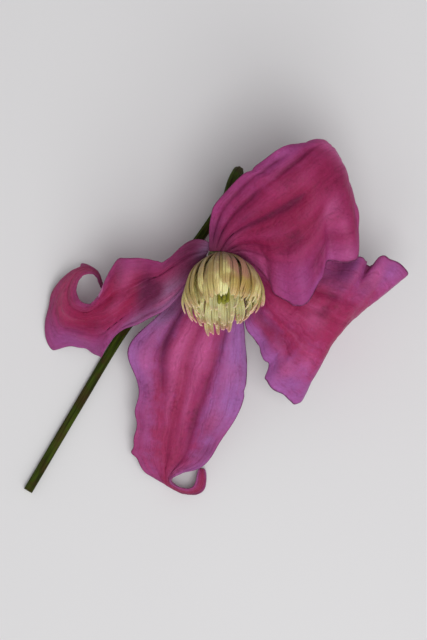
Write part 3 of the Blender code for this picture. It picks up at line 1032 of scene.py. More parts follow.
LOWER = Tepal(
    name="tepal_lower",
    margin_a=(
        (-1.7, -0.8, -2.4), (-6.6, -5.4, -6.2), (-11.5, -10.5, -8.8), (-15.8, -14.6, -10.4),
        (-18.9, -19.0, -11.4), (-17.3, -24.5, -12.6), (-16.8, -28.4, -13.8), (-18.0, -32.8, -15.2),
        (-17.7, -38.4, -17.2), (-15.8, -43.2, -19.0), (-11.9, -45.9, -20.3), (-7.4, -48.0, -20.8),
        (-3.7, -47.3, -20.75), (-3.0, -42.9, -20.2),
    ),
    midrib=(
        (0.0, -1.0, -2.75), (-0.8, -5.4, -5.6), (-2.4, -11.0, -8.0), (-4.2, -16.0, -9.4),
        (-5.6, -20.6, -10.8), (-6.6, -25.4, -12.2), (-7.4, -29.6, -13.6), (-8.2, -33.6, -15.0),
        (-9.0, -37.8, -16.4), (-9.8, -41.4, -17.8), (-10.9, -44.9, -18.6), (-8.2, -47.3, -18.8),
        (-4.7, -46.9, -19.0), (-4.0, -42.8, -19.0),
    ),
    margin_b=(
        (1.7, -0.8, -2.4), (3.4, -4.6, -6.0), (4.1, -10.0, -6.6), (4.6, -14.6, -8.0), (5.0, -19.2, -9.0),
        (5.1, -24.0, -10.4), (4.4, -29.0, -12.0), (2.3, -33.6, -13.6), (-0.5, -37.8, -15.2),
        (-4.2, -42.6, -16.4), (-9.5, -44.4, -16.6), (-9.3, -46.2, -16.8), (-5.9, -46.6, -17.4),
        (-5.0, -42.7, -17.9),
    ),
    tip_share=0.035,
    tip_breadth=0.5,
    seed=1.0,
    finish=TepalFinish(
        bar=(0.33, 0.028, 0.105), crimson=(0.33, 0.020, 0.085), lilac=(0.355, 0.127, 0.395), bar_across=-0.15,
        bar_width=0.60, lilac_a=0.60, lilac_b=0.90, length_mm=58.0,
    ),
    folds=each(
        Fold,
        (-0.66, -0.49, 0.13, 0.36, 0.060, -0.60), (0.60, 0.33, 0.17, 0.38, 0.060, -0.42),
        (0.30, 0.26, 0.44, 0.52, 0.090, -0.25), (-0.34, -0.30, 0.14, 0.48, 0.11, 0.50),
        (0.12, 0.12, 0.16, 0.36, 0.10, 0.55), (0.06, 0.04, 0.42, 0.56, 0.07, 0.35),
        (-0.09, -0.10, 0.18, 0.30, 0.05, -0.20), (-0.18, -0.22, 0.46, 0.70, 0.06, -0.35),
        (0.26, 0.24, 0.52, 0.72, 0.10, -0.35), (0.60, 0.56, 0.24, 0.52, 0.12, 0.30),
        (-0.78, -0.76, 0.24, 0.60, 0.09, 0.30),
    ),
    dents=each(
        Dent,
        (0.62, 0.53, 0.22, 0.05, 0.7), (0.75, 0.37, 0.20, 0.05, 0.5), (-0.75, 0.31, 0.20, 0.05, 0.5),
        (-0.12, 0.335, 0.06, 0.016, -0.3), (0.75, 0.64, 0.25, 0.03, -0.5),
    ),
    nicks=under(Nick, {
        Margin.A: ((0.555, 0.030, -1.0), (0.633, 0.012, 0.9)),
        Margin.B: ((0.430, 0.012, -0.25),),
    }),
    ripples=under(Ripple, {
        Margin.A: ((0.16, 0.46, 2.5, 0.50), (0.48, 0.70, 2.0, 0.35, 2.0)),
        Margin.B: ((0.26, 0.72, 3.0, 0.40, 1.0),),
    }),
    stains_and_painted_light=under(StainOrPaintedLight, {
        Tone.LILAC: (
            (0.76, 0.34, 0.28, 0.15, 0.9, -0.3), (0.60, 0.50, 0.24, 0.05, 0.5),
            (-0.86, 0.31, 0.20, 0.06, 0.8),
        ),
        Tone.VIOLET: ((-0.90, 0.16, 0.28, 0.07, 0.8), (0.99, 0.31, 0.09, 0.10, 0.6)),
        # The pink patch at 0.75 along, where the sheet turns under towards its tip, is painted light over
        # shade.
        Tone.PINK: (
            (0.10, 0.28, 0.16, 0.08, 1.0), (-0.29, 0.28, 0.12, 0.10, 0.9), (0.48, 0.75, 0.38, 0.035, 1.2),
            (0.04, 0.46, 0.06, 0.07, 0.6), (-0.30, 0.46, 0.05, 0.07, 0.4),
        ),
        Tone.CRIMSON: (
            (-0.28, 0.62, 0.25, 0.08, 0.3), (-0.16, 0.47, 0.20, 0.06, 0.4), (0.60, 0.69, 0.30, 0.03, 0.4),
            (0.34, 0.40, 0.07, 0.11, 0.6), (-0.95, 0.62, 0.30, 0.16, 0.6), (0.95, 0.60, 0.20, 0.08, 0.45),
            (-0.12, 0.335, 0.06, 0.016, 0.6), (0.20, 0.90, 1.20, 0.12, 0.9), (-0.35, 0.79, 0.55, 0.07, 0.7),
            (-0.56, 0.42, 0.10, 0.10, 0.6),
        ),
        # Painted shade near the claw, beside the folds and in the curl of the tip.
        Tone.PAINTED_SHADE: (
            (0.62, 0.56, 0.18, 0.05, 0.25), (-0.54, 0.25, 0.08, 0.09, 0.8, 1.1),
            (-0.75, 0.12, 0.26, 0.05, 0.8), (0.52, 0.22, 0.08, 0.05, 0.40, -1.6),
            (-0.62, 0.88, 0.55, 0.06, 0.65),
        ),
    }),
)
RIGHT = Tepal(
    name="tepal_right",
    margin_a=(
        (2.5, -0.4, -1.7), (4.4, -4.8, -4.4), (4.6, -12.4, -4.4), (6.5, -17.0, -4.8), (8.8, -21.6, -5.4),
        (9.6, -25.6, -6.4), (14.8, -29.5, -8.6), (17.8, -25.0, -13.0), (18.4, -20.4, -16.8),
        (18.8, -16.2, -19.2), (19.1, -13.8, -20.85),
    ),
    midrib=(
        (2.9, 0.35, -0.2), (5.8, -2.2, -2.5), (9.4, -5.8, -1.2), (13.0, -8.6, -0.4), (16.8, -10.8, 0.2),
        (20.6, -12.8, 0.0), (23.4, -14.4, -2.2), (24.2, -14.8, -6.8), (23.4, -14.6, -11.6),
        (21.6, -14.0, -16.4), (19.5, -13.6, -20.85),
    ),
    margin_b=(
        (2.5, 1.0, 0.9), (6.4, 0.9, -2.0), (11.6, 0.4, -0.6), (16.8, 0.0, -0.6), (22.0, 0.2, -0.4),
        (27.4, -0.3, -0.3), (32.6, -0.4, -1.0), (36.7, -3.6, -4.2), (30.6, -8.8, -10.6), (25.0, -11.4, -16.2),
        (19.9, -13.3, -20.85),
    ),
    seed=2.0,
    finish=TepalFinish(
        # Its violet is dark, a painted shade under the upper tepal's lobe.
        blade=(0.36, 0.036, 0.145), bar=(0.34, 0.020, 0.095), lilac=(0.34, 0.100, 0.340),
        violet=(0.175, 0.036, 0.130), bar_across=-0.05, bar_width=0.65, lilac_a=0.85, lilac_b=0.40,
        length_mm=56.0,
    ),
    folds=each(
        Fold,
        (-0.57, -0.60, 0.18, 0.46, 0.065, -0.32), (-0.44, -0.37, 0.18, 0.44, 0.045, -0.30),
        (-0.22, -0.18, 0.18, 0.46, 0.11, 0.15), (-0.04, 0.04, 0.16, 0.52, 0.050, -0.22),
        (0.16, 0.24, 0.16, 0.50, 0.08, 0.30), (0.36, 0.34, 0.30, 0.56, 0.05, -0.35),
        (-0.72, -0.72, 0.22, 0.52, 0.08, 0.30),
    ),
    dents=each(
        Dent,
        (0.78, 0.43, 0.26, 0.05, -0.4), (0.80, 0.52, 0.25, 0.02, 0.5), (0.90, 0.565, 0.20, 0.015, -0.7),
        (0.70, 0.62, 0.25, 0.03, 0.5), (-0.75, 0.50, 0.20, 0.03, 0.6), (0.2, 0.47, 0.18, 0.03, -0.6),
    ),
    nicks=under(Nick, {
        Margin.B: ((0.545, 0.024, -0.9), (0.562, 0.010, -1.4), (0.590, 0.014, 0.5), (0.70, 0.020, 0.4)),
        Margin.A: (
            (0.412, 0.020, -0.7), (0.460, 0.018, 0.6), (0.330, 0.012, -0.25), (0.552, 0.020, -0.5),
            (0.600, 0.011, 0.4),
        ),
    }),
    ripples=under(Ripple, {
        Margin.A: ((0.20, 0.60, 3.0, 0.45),),
        Margin.B: ((0.28, 0.68, 4.0, 0.60, 0.6),),
    }),
    stains_and_painted_light=under(StainOrPaintedLight, {
        Tone.LILAC: (
            (-0.94, 0.30, 0.10, 0.11, 0.7), (-0.86, 0.51, 0.18, 0.04, 0.5), (0.87, 0.64, 0.14, 0.04, 0.7),
            (0.88, 0.50, 0.12, 0.02, 0.5),
        ),
        Tone.CRIMSON: (
            (-0.70, 0.32, 0.10, 0.12, 0.7), (-0.22, 0.67, 0.14, 0.05, 0.7), (0.34, 0.42, 0.20, 0.06, 0.8),
            (0.10, 0.53, 0.22, 0.05, 0.5), (-0.50, 0.40, 0.12, 0.10, 0.6),
        ),
        Tone.PINK: (
            (0.12, 0.14, 0.20, 0.05, 0.7), (-0.07, 0.46, 0.09, 0.05, 0.5), (-0.24, 0.34, 0.10, 0.08, 0.2),
            (0.10, 0.42, 0.06, 0.06, 0.4), (-0.55, 0.55, 0.12, 0.03, 0.5), (0.72, 0.60, 0.20, 0.02, 0.5),
        ),
        # The broad violet patch at 0.46 along is painted shade under the upper tepal's lobe.
        Tone.VIOLET: ((0.57, 0.60, 0.14, 0.03, 0.6), (0.78, 0.46, 0.34, 0.070, 0.75)),
        # Painted shade beside the boss at the claw, under the upper tepal's lobe and by the notch in the second
        # margin.
        Tone.PAINTED_SHADE: (
            (0.56, 0.40, 0.10, 0.040, 0.3), (-0.80, 0.15, 0.35, 0.045, 0.8), (0.98, 0.562, 0.08, 0.012, 0.6),
            (-0.66, 0.26, 0.09, 0.07, 0.45, -0.2), (-0.28, 0.17, 0.22, 0.05, 0.4),
        ),
    }),
)
UPPER = Tepal(
    name="tepal_upper",
    margin_a=(
        (-2.5, 0.8, 1.8), (-2.5, 4.2, 3.4), (-2.0, 8.6, 5.2), (0.2, 12.0, 7.0), (3.6, 15.4, 8.8),
        (7.6, 18.4, 10.2), (12.0, 21.2, 10.8), (16.4, 22.4, 9.4), (20.4, 21.8, 6.0), (21.4, 19.6, 2.8),
        (19.4, 16.6, 0.6),
    ),
    midrib=(
        (0.0, 0.75, 2.95), (2.1, 3.4, 3.8), (5.4, 5.4, 5.8), (8.8, 7.0, 7.6), (12.4, 9.2, 9.2),
        (16.0, 12.0, 10.2), (19.4, 15.2, 10.0), (22.6, 17.8, 8.0), (23.6, 18.6, 4.6), (21.8, 17.8, 1.6),
        (19.8, 16.0, 0.2),
    ),
    margin_b=(
        (2.7, 0.3, 1.7), (6.0, -1.4, 1.0), (9.2, -5.0, 1.2), (11.9, -8.6, 1.8), (16.4, -9.6, 2.6),
        (19.7, -4.8, 4.0), (21.6, -1.4, 5.4), (26.6, -0.5, 6.2), (26.9, 7.6, 5.6), (24.2, 13.6, 3.0),
        (20.4, 15.2, 0.6),
    ),
    seed=3.0,
    finish=TepalFinish(
        # Its ridge colour is the painted highlight on the folds of its relief.
        blade=(0.30, 0.024, 0.105), bar=(0.250, 0.012, 0.070), crimson=(0.260, 0.010, 0.060),
        ridge=(0.39, 0.036, 0.145), claw=(0.20, 0.034, 0.085), ridge_highlight_share=0.45, bar_width=1.20, lilac_a=0.35,
        lilac_b=0.25, length_mm=46.0,
    ),
    folds=each(
        Fold,
        (-0.48, -0.52, 0.10, 0.60, 0.07, -0.55), (-0.10, 0.02, 0.06, 0.50, 0.07, -0.60),
        (-0.28, -0.24, 0.12, 0.60, 0.10, 0.40), (0.18, 0.28, 0.10, 0.60, 0.09, 0.45),
        (0.38, 0.46, 0.06, 0.40, 0.05, -0.35), (0.62, 0.62, 0.05, 0.34, 0.06, -0.30),
        (0.54, 0.58, 0.30, 0.60, 0.09, 0.35), (0.74, 0.78, 0.42, 0.60, 0.08, -0.25),
        (-0.78, -0.78, 0.12, 0.50, 0.07, -0.40),
    ),
    dents=each(
        Dent,
        (0.75, 0.36, 0.22, 0.06, 0.6), (0.60, 0.66, 0.20, 0.05, 0.4), (0.30, 0.40, 0.15, 0.05, -0.5),
        (0.0, 0.55, 0.20, 0.05, 0.5), (-0.5, 0.42, 0.20, 0.06, 0.5),
    ),
    nicks=under(Nick, {
        Margin.B: ((0.580, 0.020, -0.5), (0.705, 0.018, 0.4), (0.350, 0.012, 0.25)),
        Margin.A: ((0.450, 0.015, -0.4),),
    }),
    ripples=under(Ripple, {
        Margin.A: ((0.20, 0.80, 3.5, 0.50),),
        Margin.B: ((0.24, 0.80, 4.0, 0.55, 0.8),),
    }),
    stains_and_painted_light=under(StainOrPaintedLight, {
        Tone.LILAC: (
            (0.82, 0.36, 0.20, 0.08, 0.7), (0.97, 0.64, 0.10, 0.07, 0.6), (0.98, 0.48, 0.05, 0.06, 0.6),
            (-0.80, 0.55, 0.20, 0.12, 0.4),
        ),
        # The broad pink patch at 0.86 along is painted light on the turned-over tip, which lies in shade.
        Tone.PINK: (
            (0.94, 0.65, 0.10, 0.05, 0.6), (0.48, 0.61, 0.16, 0.040, 0.7), (-0.05, 0.20, 0.07, 0.06, 0.4),
            (0.66, 0.66, 0.10, 0.020, 0.4), (-0.45, 0.72, 0.25, 0.05, 0.5), (0.84, 0.17, 0.26, 0.07, 0.7),
            (-0.04, 0.11, 0.12, 0.06, 0.4), (-0.30, 0.78, 0.45, 0.06, 1.0), (0.20, 0.86, 1.20, 0.10, 0.9),
        ),
        Tone.CRIMSON: (
            (0.30, 0.24, 0.60, 0.14, 0.8), (0.20, 0.50, 0.50, 0.14, 0.7), (0.66, 0.72, 0.30, 0.04, 0.6),
            (0.84, 0.65, 0.12, 0.05, 0.6),
        ),
        # Painted shade near the claw, beside the boss, and on the blade just beyond it.
        Tone.PAINTED_SHADE: (
            (-0.75, 0.10, 0.38, 0.06, 0.6), (0.30, 0.05, 0.80, 0.04, 0.4), (0.26, 0.30, 0.10, 0.08, 0.25),
            (-0.25, 0.22, 0.10, 0.08, 0.4),
        ),
    }),
)
LEFT = Tepal(
    name="tepal_left",
    margin_a=(
        (-2.5, -0.4, -1.7), (-5.6, -4.2, -3.6), (-9.6, -9.2, -5.8), (-14.4, -12.6, -8.2),
        (-18.8, -14.4, -10.6), (-22.8, -17.8, -13.4), (-25.2, -20.2, -16.4), (-30.0, -17.9, -18.6),
        (-34.5, -19.0, -20.7), (-35.4, -12.4, -20.0), (-33.9, -6.3, -18.4), (-29.6, -2.5, -17.2),
        (-25.6, -2.5, -16.6), (-23.6, -7.0, -16.2),
    ),
    midrib=(
        (-2.9, 0.35, -0.2), (-6.6, -1.6, -0.9), (-10.6, -4.4, -2.3), (-14.4, -6.6, -4.0), (-18.2, -8.4, -6.2),
        (-21.8, -10.6, -8.8), (-25.2, -12.4, -11.4), (-28.4, -12.6, -13.4), (-31.2, -11.2, -14.6),
        (-31.9, -7.8, -15.0), (-30.4, -4.4, -15.0), (-27.9, -2.6, -15.0), (-25.2, -3.4, -14.8),
        (-23.9, -7.0, -14.6),
    ),
    margin_b=(
        (-1.2, 2.0, 1.6), (-5.6, 3.2, 1.5), (-10.0, 0.2, 0.6), (-13.8, -1.1, -0.4), (-18.0, -0.2, -1.8),
        (-21.4, -2.0, -4.0), (-24.0, -6.0, -6.6), (-25.8, -9.4, -9.0), (-28.2, -8.9, -11.0),
        (-29.2, -6.4, -12.2), (-28.2, -4.2, -12.8), (-26.8, -3.5, -12.8), (-25.2, -4.1, -12.8),
        (-24.2, -7.0, -12.8),
    ),
    seed=4.0,
    finish=TepalFinish(
        # Its painted shade is a little redder than on the other tepals.
        blade=(0.285, 0.023, 0.105), lilac=(0.32, 0.068, 0.245), pink=(0.48, 0.062, 0.165),
        violet=(0.270, 0.135, 0.270), dusk=(0.120, 0.011, 0.052), bar_across=0.1, bar_width=0.75,
        lilac_a=0.65, lilac_b=0.30, length_mm=62.0,
    ),
    folds=each(
        Fold,
        (0.34, 0.30, 0.06, 0.24, 0.08, -0.50), (0.10, 0.02, 0.34, 0.62, 0.08, 0.30),
        (-0.64, -0.62, 0.08, 0.24, 0.08, 0.45), (-0.45, -0.45, 0.38, 0.58, 0.05, -0.35),
        (-0.85, -0.86, 0.10, 0.28, 0.05, -0.40), (0.35, 0.25, 0.42, 0.75, 0.07, -0.35),
    ),
    dents=each(
        Dent,
        (-0.05, 0.255, 0.70, 0.035, -1.0, 3.0), (0.60, 0.33, 0.35, 0.05, 0.9), (0.0, 0.37, 0.3, 0.04, 0.5),
        (-0.6, 0.17, 0.3, 0.05, 0.6), (-0.6, 0.50, 0.25, 0.04, 0.5), (-0.1, 0.48, 0.25, 0.04, -0.4),
    ),
    nicks=under(Nick, {
        Margin.B: ((0.370, 0.035, 0.8), (0.190, 0.014, -0.4)),
        Margin.A: ((0.882, 0.013, 1.8), (0.500, 0.012, -0.35), (0.425, 0.020, 0.6)),
    }),
    ripples=under(Ripple, {
        Margin.A: ((0.24, 0.70, 3.5, 0.45),),
        Margin.B: ((0.14, 0.60, 3.0, 0.45, 0.6),),
    }),
    stains_and_painted_light=under(StainOrPaintedLight, {
        Tone.LILAC: (
            (-0.80, 0.53, 0.30, 0.12, 0.7), (0.80, 0.32, 0.25, 0.05, 0.5), (-0.70, 0.61, 0.20, 0.06, 0.5),
        ),
        Tone.VIOLET: (
            (-0.55, 0.16, 0.50, 0.06, 0.9), (-0.80, 0.27, 0.20, 0.05, 0.6), (0.50, 0.020, 0.50, 0.03, 0.9),
        ),
        # The broad pink patch at 0.76 along is painted light on the curl, which lies in shade.
        Tone.PINK: (
            (0.60, 0.34, 0.16, 0.05, 0.4), (-0.10, 0.60, 0.08, 0.05, 0.4), (0.20, 0.76, 1.00, 0.12, 0.8),
            (-0.03, 0.66, 0.20, 0.05, 0.4),
        ),
        Tone.CRIMSON: (
            (0.04, 0.37, 0.42, 0.06, 0.9), (0.05, 0.52, 0.42, 0.08, 0.9), (0.50, 0.325, 0.32, 0.05, 0.6),
            (-0.95, 0.78, 0.35, 0.10, 0.7), (0.35, 0.31, 0.55, 0.05, 0.9), (-0.36, 0.15, 0.22, 0.035, 0.8),
            (0.55, 0.38, 0.30, 0.06, 0.8),
        ),
        # Painted shade at the dark claw, across the valley where the blade drops at a quarter of its length,
        # and in the curl.
        Tone.PAINTED_SHADE: (
            (0.55, 0.10, 0.60, 0.05, 0.55), (0.85, 0.075, 0.40, 0.04, 0.6),
            (-0.15, 0.200, 0.38, 0.032, 1.0, 2.0), (0.80, 0.165, 0.30, 0.035, 0.4),
            (0.24, 0.327, 0.16, 0.03, 0.35), (0.66, 0.345, 0.20, 0.04, 0.25),
            (-0.05, 0.250, 0.60, 0.040, 1.0, 3.0), (0.30, 0.97, 1.20, 0.04, 0.6),
        ),
    }),
)
TEPALS = (LOWER, RIGHT, UPPER, LEFT)


# --- stamens, pistils ---


@dataclass(frozen=True)
class Ring:
    """One ring of strands round the flower's axis, in groups of one strand and its fellows."""

    count: int  # groups
    foot: float  # where they start along the axis, mm
    tips: Row  # where strands end along the axis, at even angles round it, mm
    radii: Row  # the ring's radius at even places from foot to tip, mm
    flares: Row = (0.0,)  # how far outward strands' tips turn, at even angles, mm
    turn: float = 0.0  # how far round the first group stands, in groups
    sinks: Row = (0.0,)  # how far inside the ring each strand of a group stands, mm
    parts: bool = False  # whether all but the deepest of each group stand apart at the boss's partings


@dataclass(frozen=True)
class Strand:
    """One stamen or pistil, by where it stands and how it runs."""

    angle: float  # round the axis, in radians
    foot: float  # along the axis, mm
    tip: float  # along the axis, mm
    radii: Row  # its distance from the axis at even places from foot to tip, mm
    flare: float = 0.0  # how far its tip turns outward, mm
    breadth: float = 1.0  # to the usual half widths
    twist: float = 0.0  # how far it is turned about its own line at the tip, in radians
    age: float = 0.0  # from fresh at 0 to faded at 1, and raised further as painted shade behind a parting


@dataclass
class Boss:
    """The crowded middle of the flower: three rings of stamens in groups round the pistils."""

    stamen_rings: Sequence[Ring] = (
        Ring(
            24, 0.45,
            (
                10.5, 10.6, 10.2, 10.6, 11.1, 12.0, 11.0, 10.6, 12.6, 12.0, 9.8, 9.3,
                8.9, 11.6, 11.2, 12.6, 13.6, 11.0, 11.4, 12.4, 12.9, 12.0, 12.2, 12.6,
                12.0, 12.4, 12.6, 12.9, 12.2, 13.2, 13.9, 12.8, 15.2, 14.2, 13.0, 14.1,
                13.6, 14.0, 11.6, 11.0, 12.3, 12.0, 10.6, 11.2, 11.8, 11.6, 10.4, 10.7,
            ),
            (2.35, 5.1, 6.8, 7.5, 7.6, 6.5),
            (
                1.2, 0.3, 0.3, 0.3, 0.0, 0.0, 0.0, 0.0, 0.3, 0.3, 0.3, 0.4,
                0.4, -0.1, -0.8, -0.8, -0.9, -1.1, -1.1, -0.8, -0.8, -0.2, -0.2, 1.3,
            ),
            0.5, (0.0, 0.28, 0.55), True,
        ),
        Ring(
            16, 1.30,
            (
                10.4, 10.8, 11.2, 11.6, 11.0, 10.9, 10.7, 11.4, 11.8, 11.9, 11.6, 11.8,
                11.6, 12.0, 12.2, 12.8, 12.4, 13.0, 12.5, 12.6, 12.2, 11.6, 11.2, 10.6,
            ),
            (1.90, 4.15, 5.55, 6.30, 6.45, 5.6), (0.0,), 0.2, (0.0, 0.35, 0.80),
        ),
        Ring(
            8, 1.60,
            (
                9.4, 9.9, 10.2, 8.8, 10.1, 10.3, 10.1, 10.3, 9.9, 8.8, 10.0, 10.3,
                9.8, 10.4, 9.7, 10.8, 10.4, 11.2, 10.4, 11.0, 10.2, 10.7, 9.6, 9.9,
            ),
            (1.30, 2.8, 3.9, 4.5, 4.5, 3.8), (0.0,), 0.5, (0.0, 0.25, 1.20),
        ),
    )
    pistil_ring: Ring = Ring(6, 1.80, (10.7, 10.5, 10.9), (0.60, 0.85, 1.00, 1.05, 1.00, 0.80))
    sway: float = 0.065  # how far the boss leans to one side, mm to each mm along the axis
    sway_until: float = 4.0  # how far along the axis it goes on leaning, mm
    partings: Row = (0.174, 0.257, 0.382)  # where strands stand apart, in turns round the axis
    parting_width: float = 0.0105  # how far each side of a parting moves over, in turns
    parting_depth: float = 0.30  # how much further in the strand behind a parting stands, mm
    parting_reach: float = 0.022  # how far round from a parting its pull falls to a third, in turns
    tip_lean: float = 0.15  # how far the upper tips close in and the lower ones open, to the radius
    half_widths: Row = (0.26, 0.37, 0.48, 0.54, 0.50, 0.34)  # from foot to tip, mm
    half_depths: Row = (0.16, 0.17, 0.20, 0.25, 0.27, 0.17)  # from foot to tip, mm
    pistil_depths: Row = (0.24, 0.24, 0.24, 0.26, 0.32, 0.44)  # from foot to tip, mm
    seam_depth: float = 0.40  # share of the thickness
    seam_width: float = 0.34  # share of the half width
    seam_first: float = 0.42  # along, where the seam is at its full depth
    seam_last: float = 0.90  # along, where it starts to fade
    seam_fade: float = 0.14
    tip_round: float = 0.09  # share of the length over which a tip rounds off
    stray_angle: float = 0.14  # each stray is the most by which a strand departs, here in groups
    stray_depth: float = 0.22  # mm
    stray_length: float = 0.55  # mm
    stray_flare: float = 0.50  # mm
    stray_twist_deg: float = 26.0
    stray_breadth: float = 0.14  # share of its breadth
    fellow_breadth: float = 0.88  # to the first strand of the group
    sides: int = 16
    cuts: int = 30
    outer_finish: StrandFinish = StrandFinish()
    # The inner rings are paler: their own fresher colour, lifted further as painted light in the shaded mouth
    # of the boss, with lighter painted shade between strands.
    inner_finish: StrandFinish = StrandFinish(
        foot=(0.48, 0.38, 0.110), middle=(0.66, 0.55, 0.150), anther=(0.95, 0.90, 0.480),
        tip=(0.92, 0.70, 0.500), fresh=(0.88, 0.93, 0.420), lining=(0.97, 0.95, 0.600),
        split=(0.56, 0.48, 0.150), fading_and_gap_shade=0.25,
    )
    pistil_finish: PistilFinish = PistilFinish()

    def group(self, ring: Ring, i: int, number: int) -> list[Strand]:
        """A stamen near the place of its solid, and its slighter fellows beside it.

        Args:
            ring: the ring they belong to.
            i: the group's place in the ring.
            number: the solid's number in the flower.

        Returns:
            All of them, each with its own small differences.
        """
        made = []
        for step, sink in enumerate(ring.sinks):
            share = step / len(ring.sinks)
            seed = number + 0.37 + share
            spacing = ring.turn + i + share
            turn = (spacing + self.stray_angle * uneven(seed)) / ring.count
            age = 0.5 + 0.5 * uneven(seed + 57.0)
            near = self.nearness(turn) if ring.parts else 0.0
            if sink < max(ring.sinks):
                turn += self.parting_width * near
            else:  # the deepest one stays behind a parting, so that nothing shows through it, and is darkened there as painted shade
                age += abs(near)
                sink += self.parting_depth * abs(near)
            sink += self.stray_depth * uneven(seed + 5.0)
            made.append(
                Strand(
                    angle=2.0 * math.pi * turn,
                    foot=ring.foot,
                    tip=self.pick(ring.tips, spacing / ring.count) + self.stray_length * uneven(seed + 11.0),
                    radii=[ring.radii[0], *(radius - sink for radius in ring.radii[1:])],
                    flare=self.pick(ring.flares, spacing / ring.count)
                    + self.stray_flare * uneven(seed + 23.0),
                    breadth=(self.fellow_breadth if step else 1.0)
                    * (1.0 + self.stray_breadth * uneven(seed + 31.0)),
                    twist=math.radians(self.stray_twist_deg) * uneven(seed + 43.0),
                    age=age,
                )
            )
        return made

    def nearness(self, turn: float) -> float:
        """How near a place round the ring is to a parting: 1 just past it, -1 just before it, 0 far away."""
        gaps = (turn - parting for parting in self.partings)
        return sum(math.copysign(math.exp(-abs(gap) / self.parting_reach), gap) for gap in gaps)

    def pick(self, values: Row, turn: float) -> float:
        """The value for a place round the ring, from values at even angles."""
        return values[int(turn * len(values)) % len(values)]

    def line(self, strand: Strand) -> np.ndarray:
        """The middle line of one strand from foot to tip, in the flower's own directions."""
        upper = math.sin(strand.angle)
        forward = np.linspace(0.0, 1.0, len(strand.radii))
        leaning = 1.0 - self.tip_lean * upper * forward**2
        reach = np.array(strand.radii) * leaning + strand.flare * forward**4
        height = strand.foot + (strand.tip - strand.foot) * forward
        aside = reach * math.cos(strand.angle) + self.sway * np.minimum(height, self.sway_until)
        knots = np.stack([aside, reach * upper, height], axis=1)
        return smooth_line(knots, np.linspace(0.0, 1.0, self.cuts + 1))

    def skin(self, strand: Strand, widths: Row, depths: Row, seam: float) -> bmesh.types.BMesh:
        """A strap along a strand's line, grooved down the middle of both faces towards its tip.

        Args:
            strand: where it runs.
            widths: half widths at even places along it.
            depths: half thicknesses at the same places.
            seam: share of its thickness that the groove takes away.

        Returns:
            The closed skin.
        """
        line = self.line(strand)
        forward = np.linspace(0.0, 1.0, self.cuts + 1)
        spots = np.linspace(0.0, 1.0, len(widths))
        left = np.clip((1.0 - forward) / self.tip_round, 0.0, 1.0)
        closing = np.sqrt(left * (2.0 - left))
        width = strand.breadth * np.interp(forward, spots, widths) * closing
        depth = np.interp(forward, spots, depths) * closing
        groove = seam * window(forward, self.seam_first, self.seam_last, self.seam_fade)
        tangents = unit(np.gradient(line, axis=0))
        level = np.array((-math.sin(strand.angle), math.cos(strand.angle), 0.0))
        outward = unit(np.cross(level, tangents))
        turned = strand.twist * forward[:, None] ** 2
        sideways = np.cos(turned) * level + np.sin(turned) * outward
        outward = unit(np.cross(sideways, tangents))

        def place(around: int, along: int) -> Placed:
            """The point on the strap, and how faded it is, with painted shade behind a parting."""
            turn = 2.0 * math.pi * around / self.sides
            dip = 1.0 - groove[along] * math.exp(-((math.cos(turn) / self.seam_width) ** 2))
            point = line[along] + width[along] * math.cos(turn) * sideways[along]
            return point + depth[along] * dip * math.sin(turn) * outward[along], (strand.age,)

        bm = wrapped_grid(self.sides, self.cuts, place, (AGE_AND_GAP_SHADE,))
        close_holes(bm)
        return bm

    def build(self, origin: Vector) -> list[bpy.types.Object]:
        """Makes every stamen and pistil.

        Args:
            origin: the middle of the receptacle, in metres.

        Returns:
            The pieces, dressed.
        """
        face = facing(origin)
        outer = self.outer_finish.make("outer_stamen_finish", origin)
        inner = self.inner_finish.make("inner_stamen_finish", origin)
        made = []
        number = 0
        for ring, finish in zip(self.stamen_rings, (outer, inner, inner)):
            for i in range(ring.count):
                number += 1
                node = f"stamen_{number:02d}"
                for step, strand in enumerate(self.group(ring, i, number)):
                    bm = self.skin(strand, self.half_widths, self.half_depths, self.seam_depth)
                    kind, nodes = (f"fellow_{step}", []) if step else ("strap", [node])
                    made.append(finished(f"{node}_{kind}", bm, face, [finish], nodes))
        return made + self.build_pistils(face, origin)

    def build_pistils(self, face: Matrix, origin: Vector) -> list[bpy.types.Object]:
        """Makes the pistils, one upright and the others round it."""
        finish = self.pistil_finish.make("pistil_finish", origin)
        ring = self.pistil_ring
        made = []
        for i in range(ring.count):
            upright = i == ring.count - 1
            strand = Strand(
                angle=2.0 * math.pi * i / (ring.count - 1),
                foot=ring.foot,
                tip=ring.tips[i % len(ring.tips)],
                radii=[0.0] * len(ring.radii) if upright else ring.radii,
            )
            bm = self.skin(strand, self.pistil_depths, self.pistil_depths, 0.0)
            node = f"pistil_{i + 1:02d}"
            made.append(finished(f"{node}_style", bm, face, [finish], [node]))
        return made


@dataclass
class Receptacle:
    """The squashed, lumpy knob that every other piece springs from."""

    radius: float = 2.7  # mm
    half_depth: float = 1.8  # along the flower's axis, mm
    lump: float = 0.10  # mm
    lumps_round: float = 5.0  # how many to each unit of direction
    finish: ReceptacleFinish = ReceptacleFinish()

    def build(self, origin: Vector) -> bpy.types.Object:
        """Makes the piece, dressed."""
        bm = bmesh.new()
        bmesh.ops.create_uvsphere(bm, u_segments=48, v_segments=32, radius=1.0)
        for vert in bm.verts:
            way = vert.co.normalized()
            lumps = noise.noise(way * self.lumps_round) * self.lump
            size = Vector((self.radius, self.radius, self.half_depth)) + Vector((lumps,) * 3)
            vert.co = Vector((way.x * size.x, way.y * size.y, way.z * size.z)) * MM
        finish = self.finish.make("receptacle_finish", origin)
        return finished("receptacle_knob", bm, facing(origin), [finish], ["receptacle"])


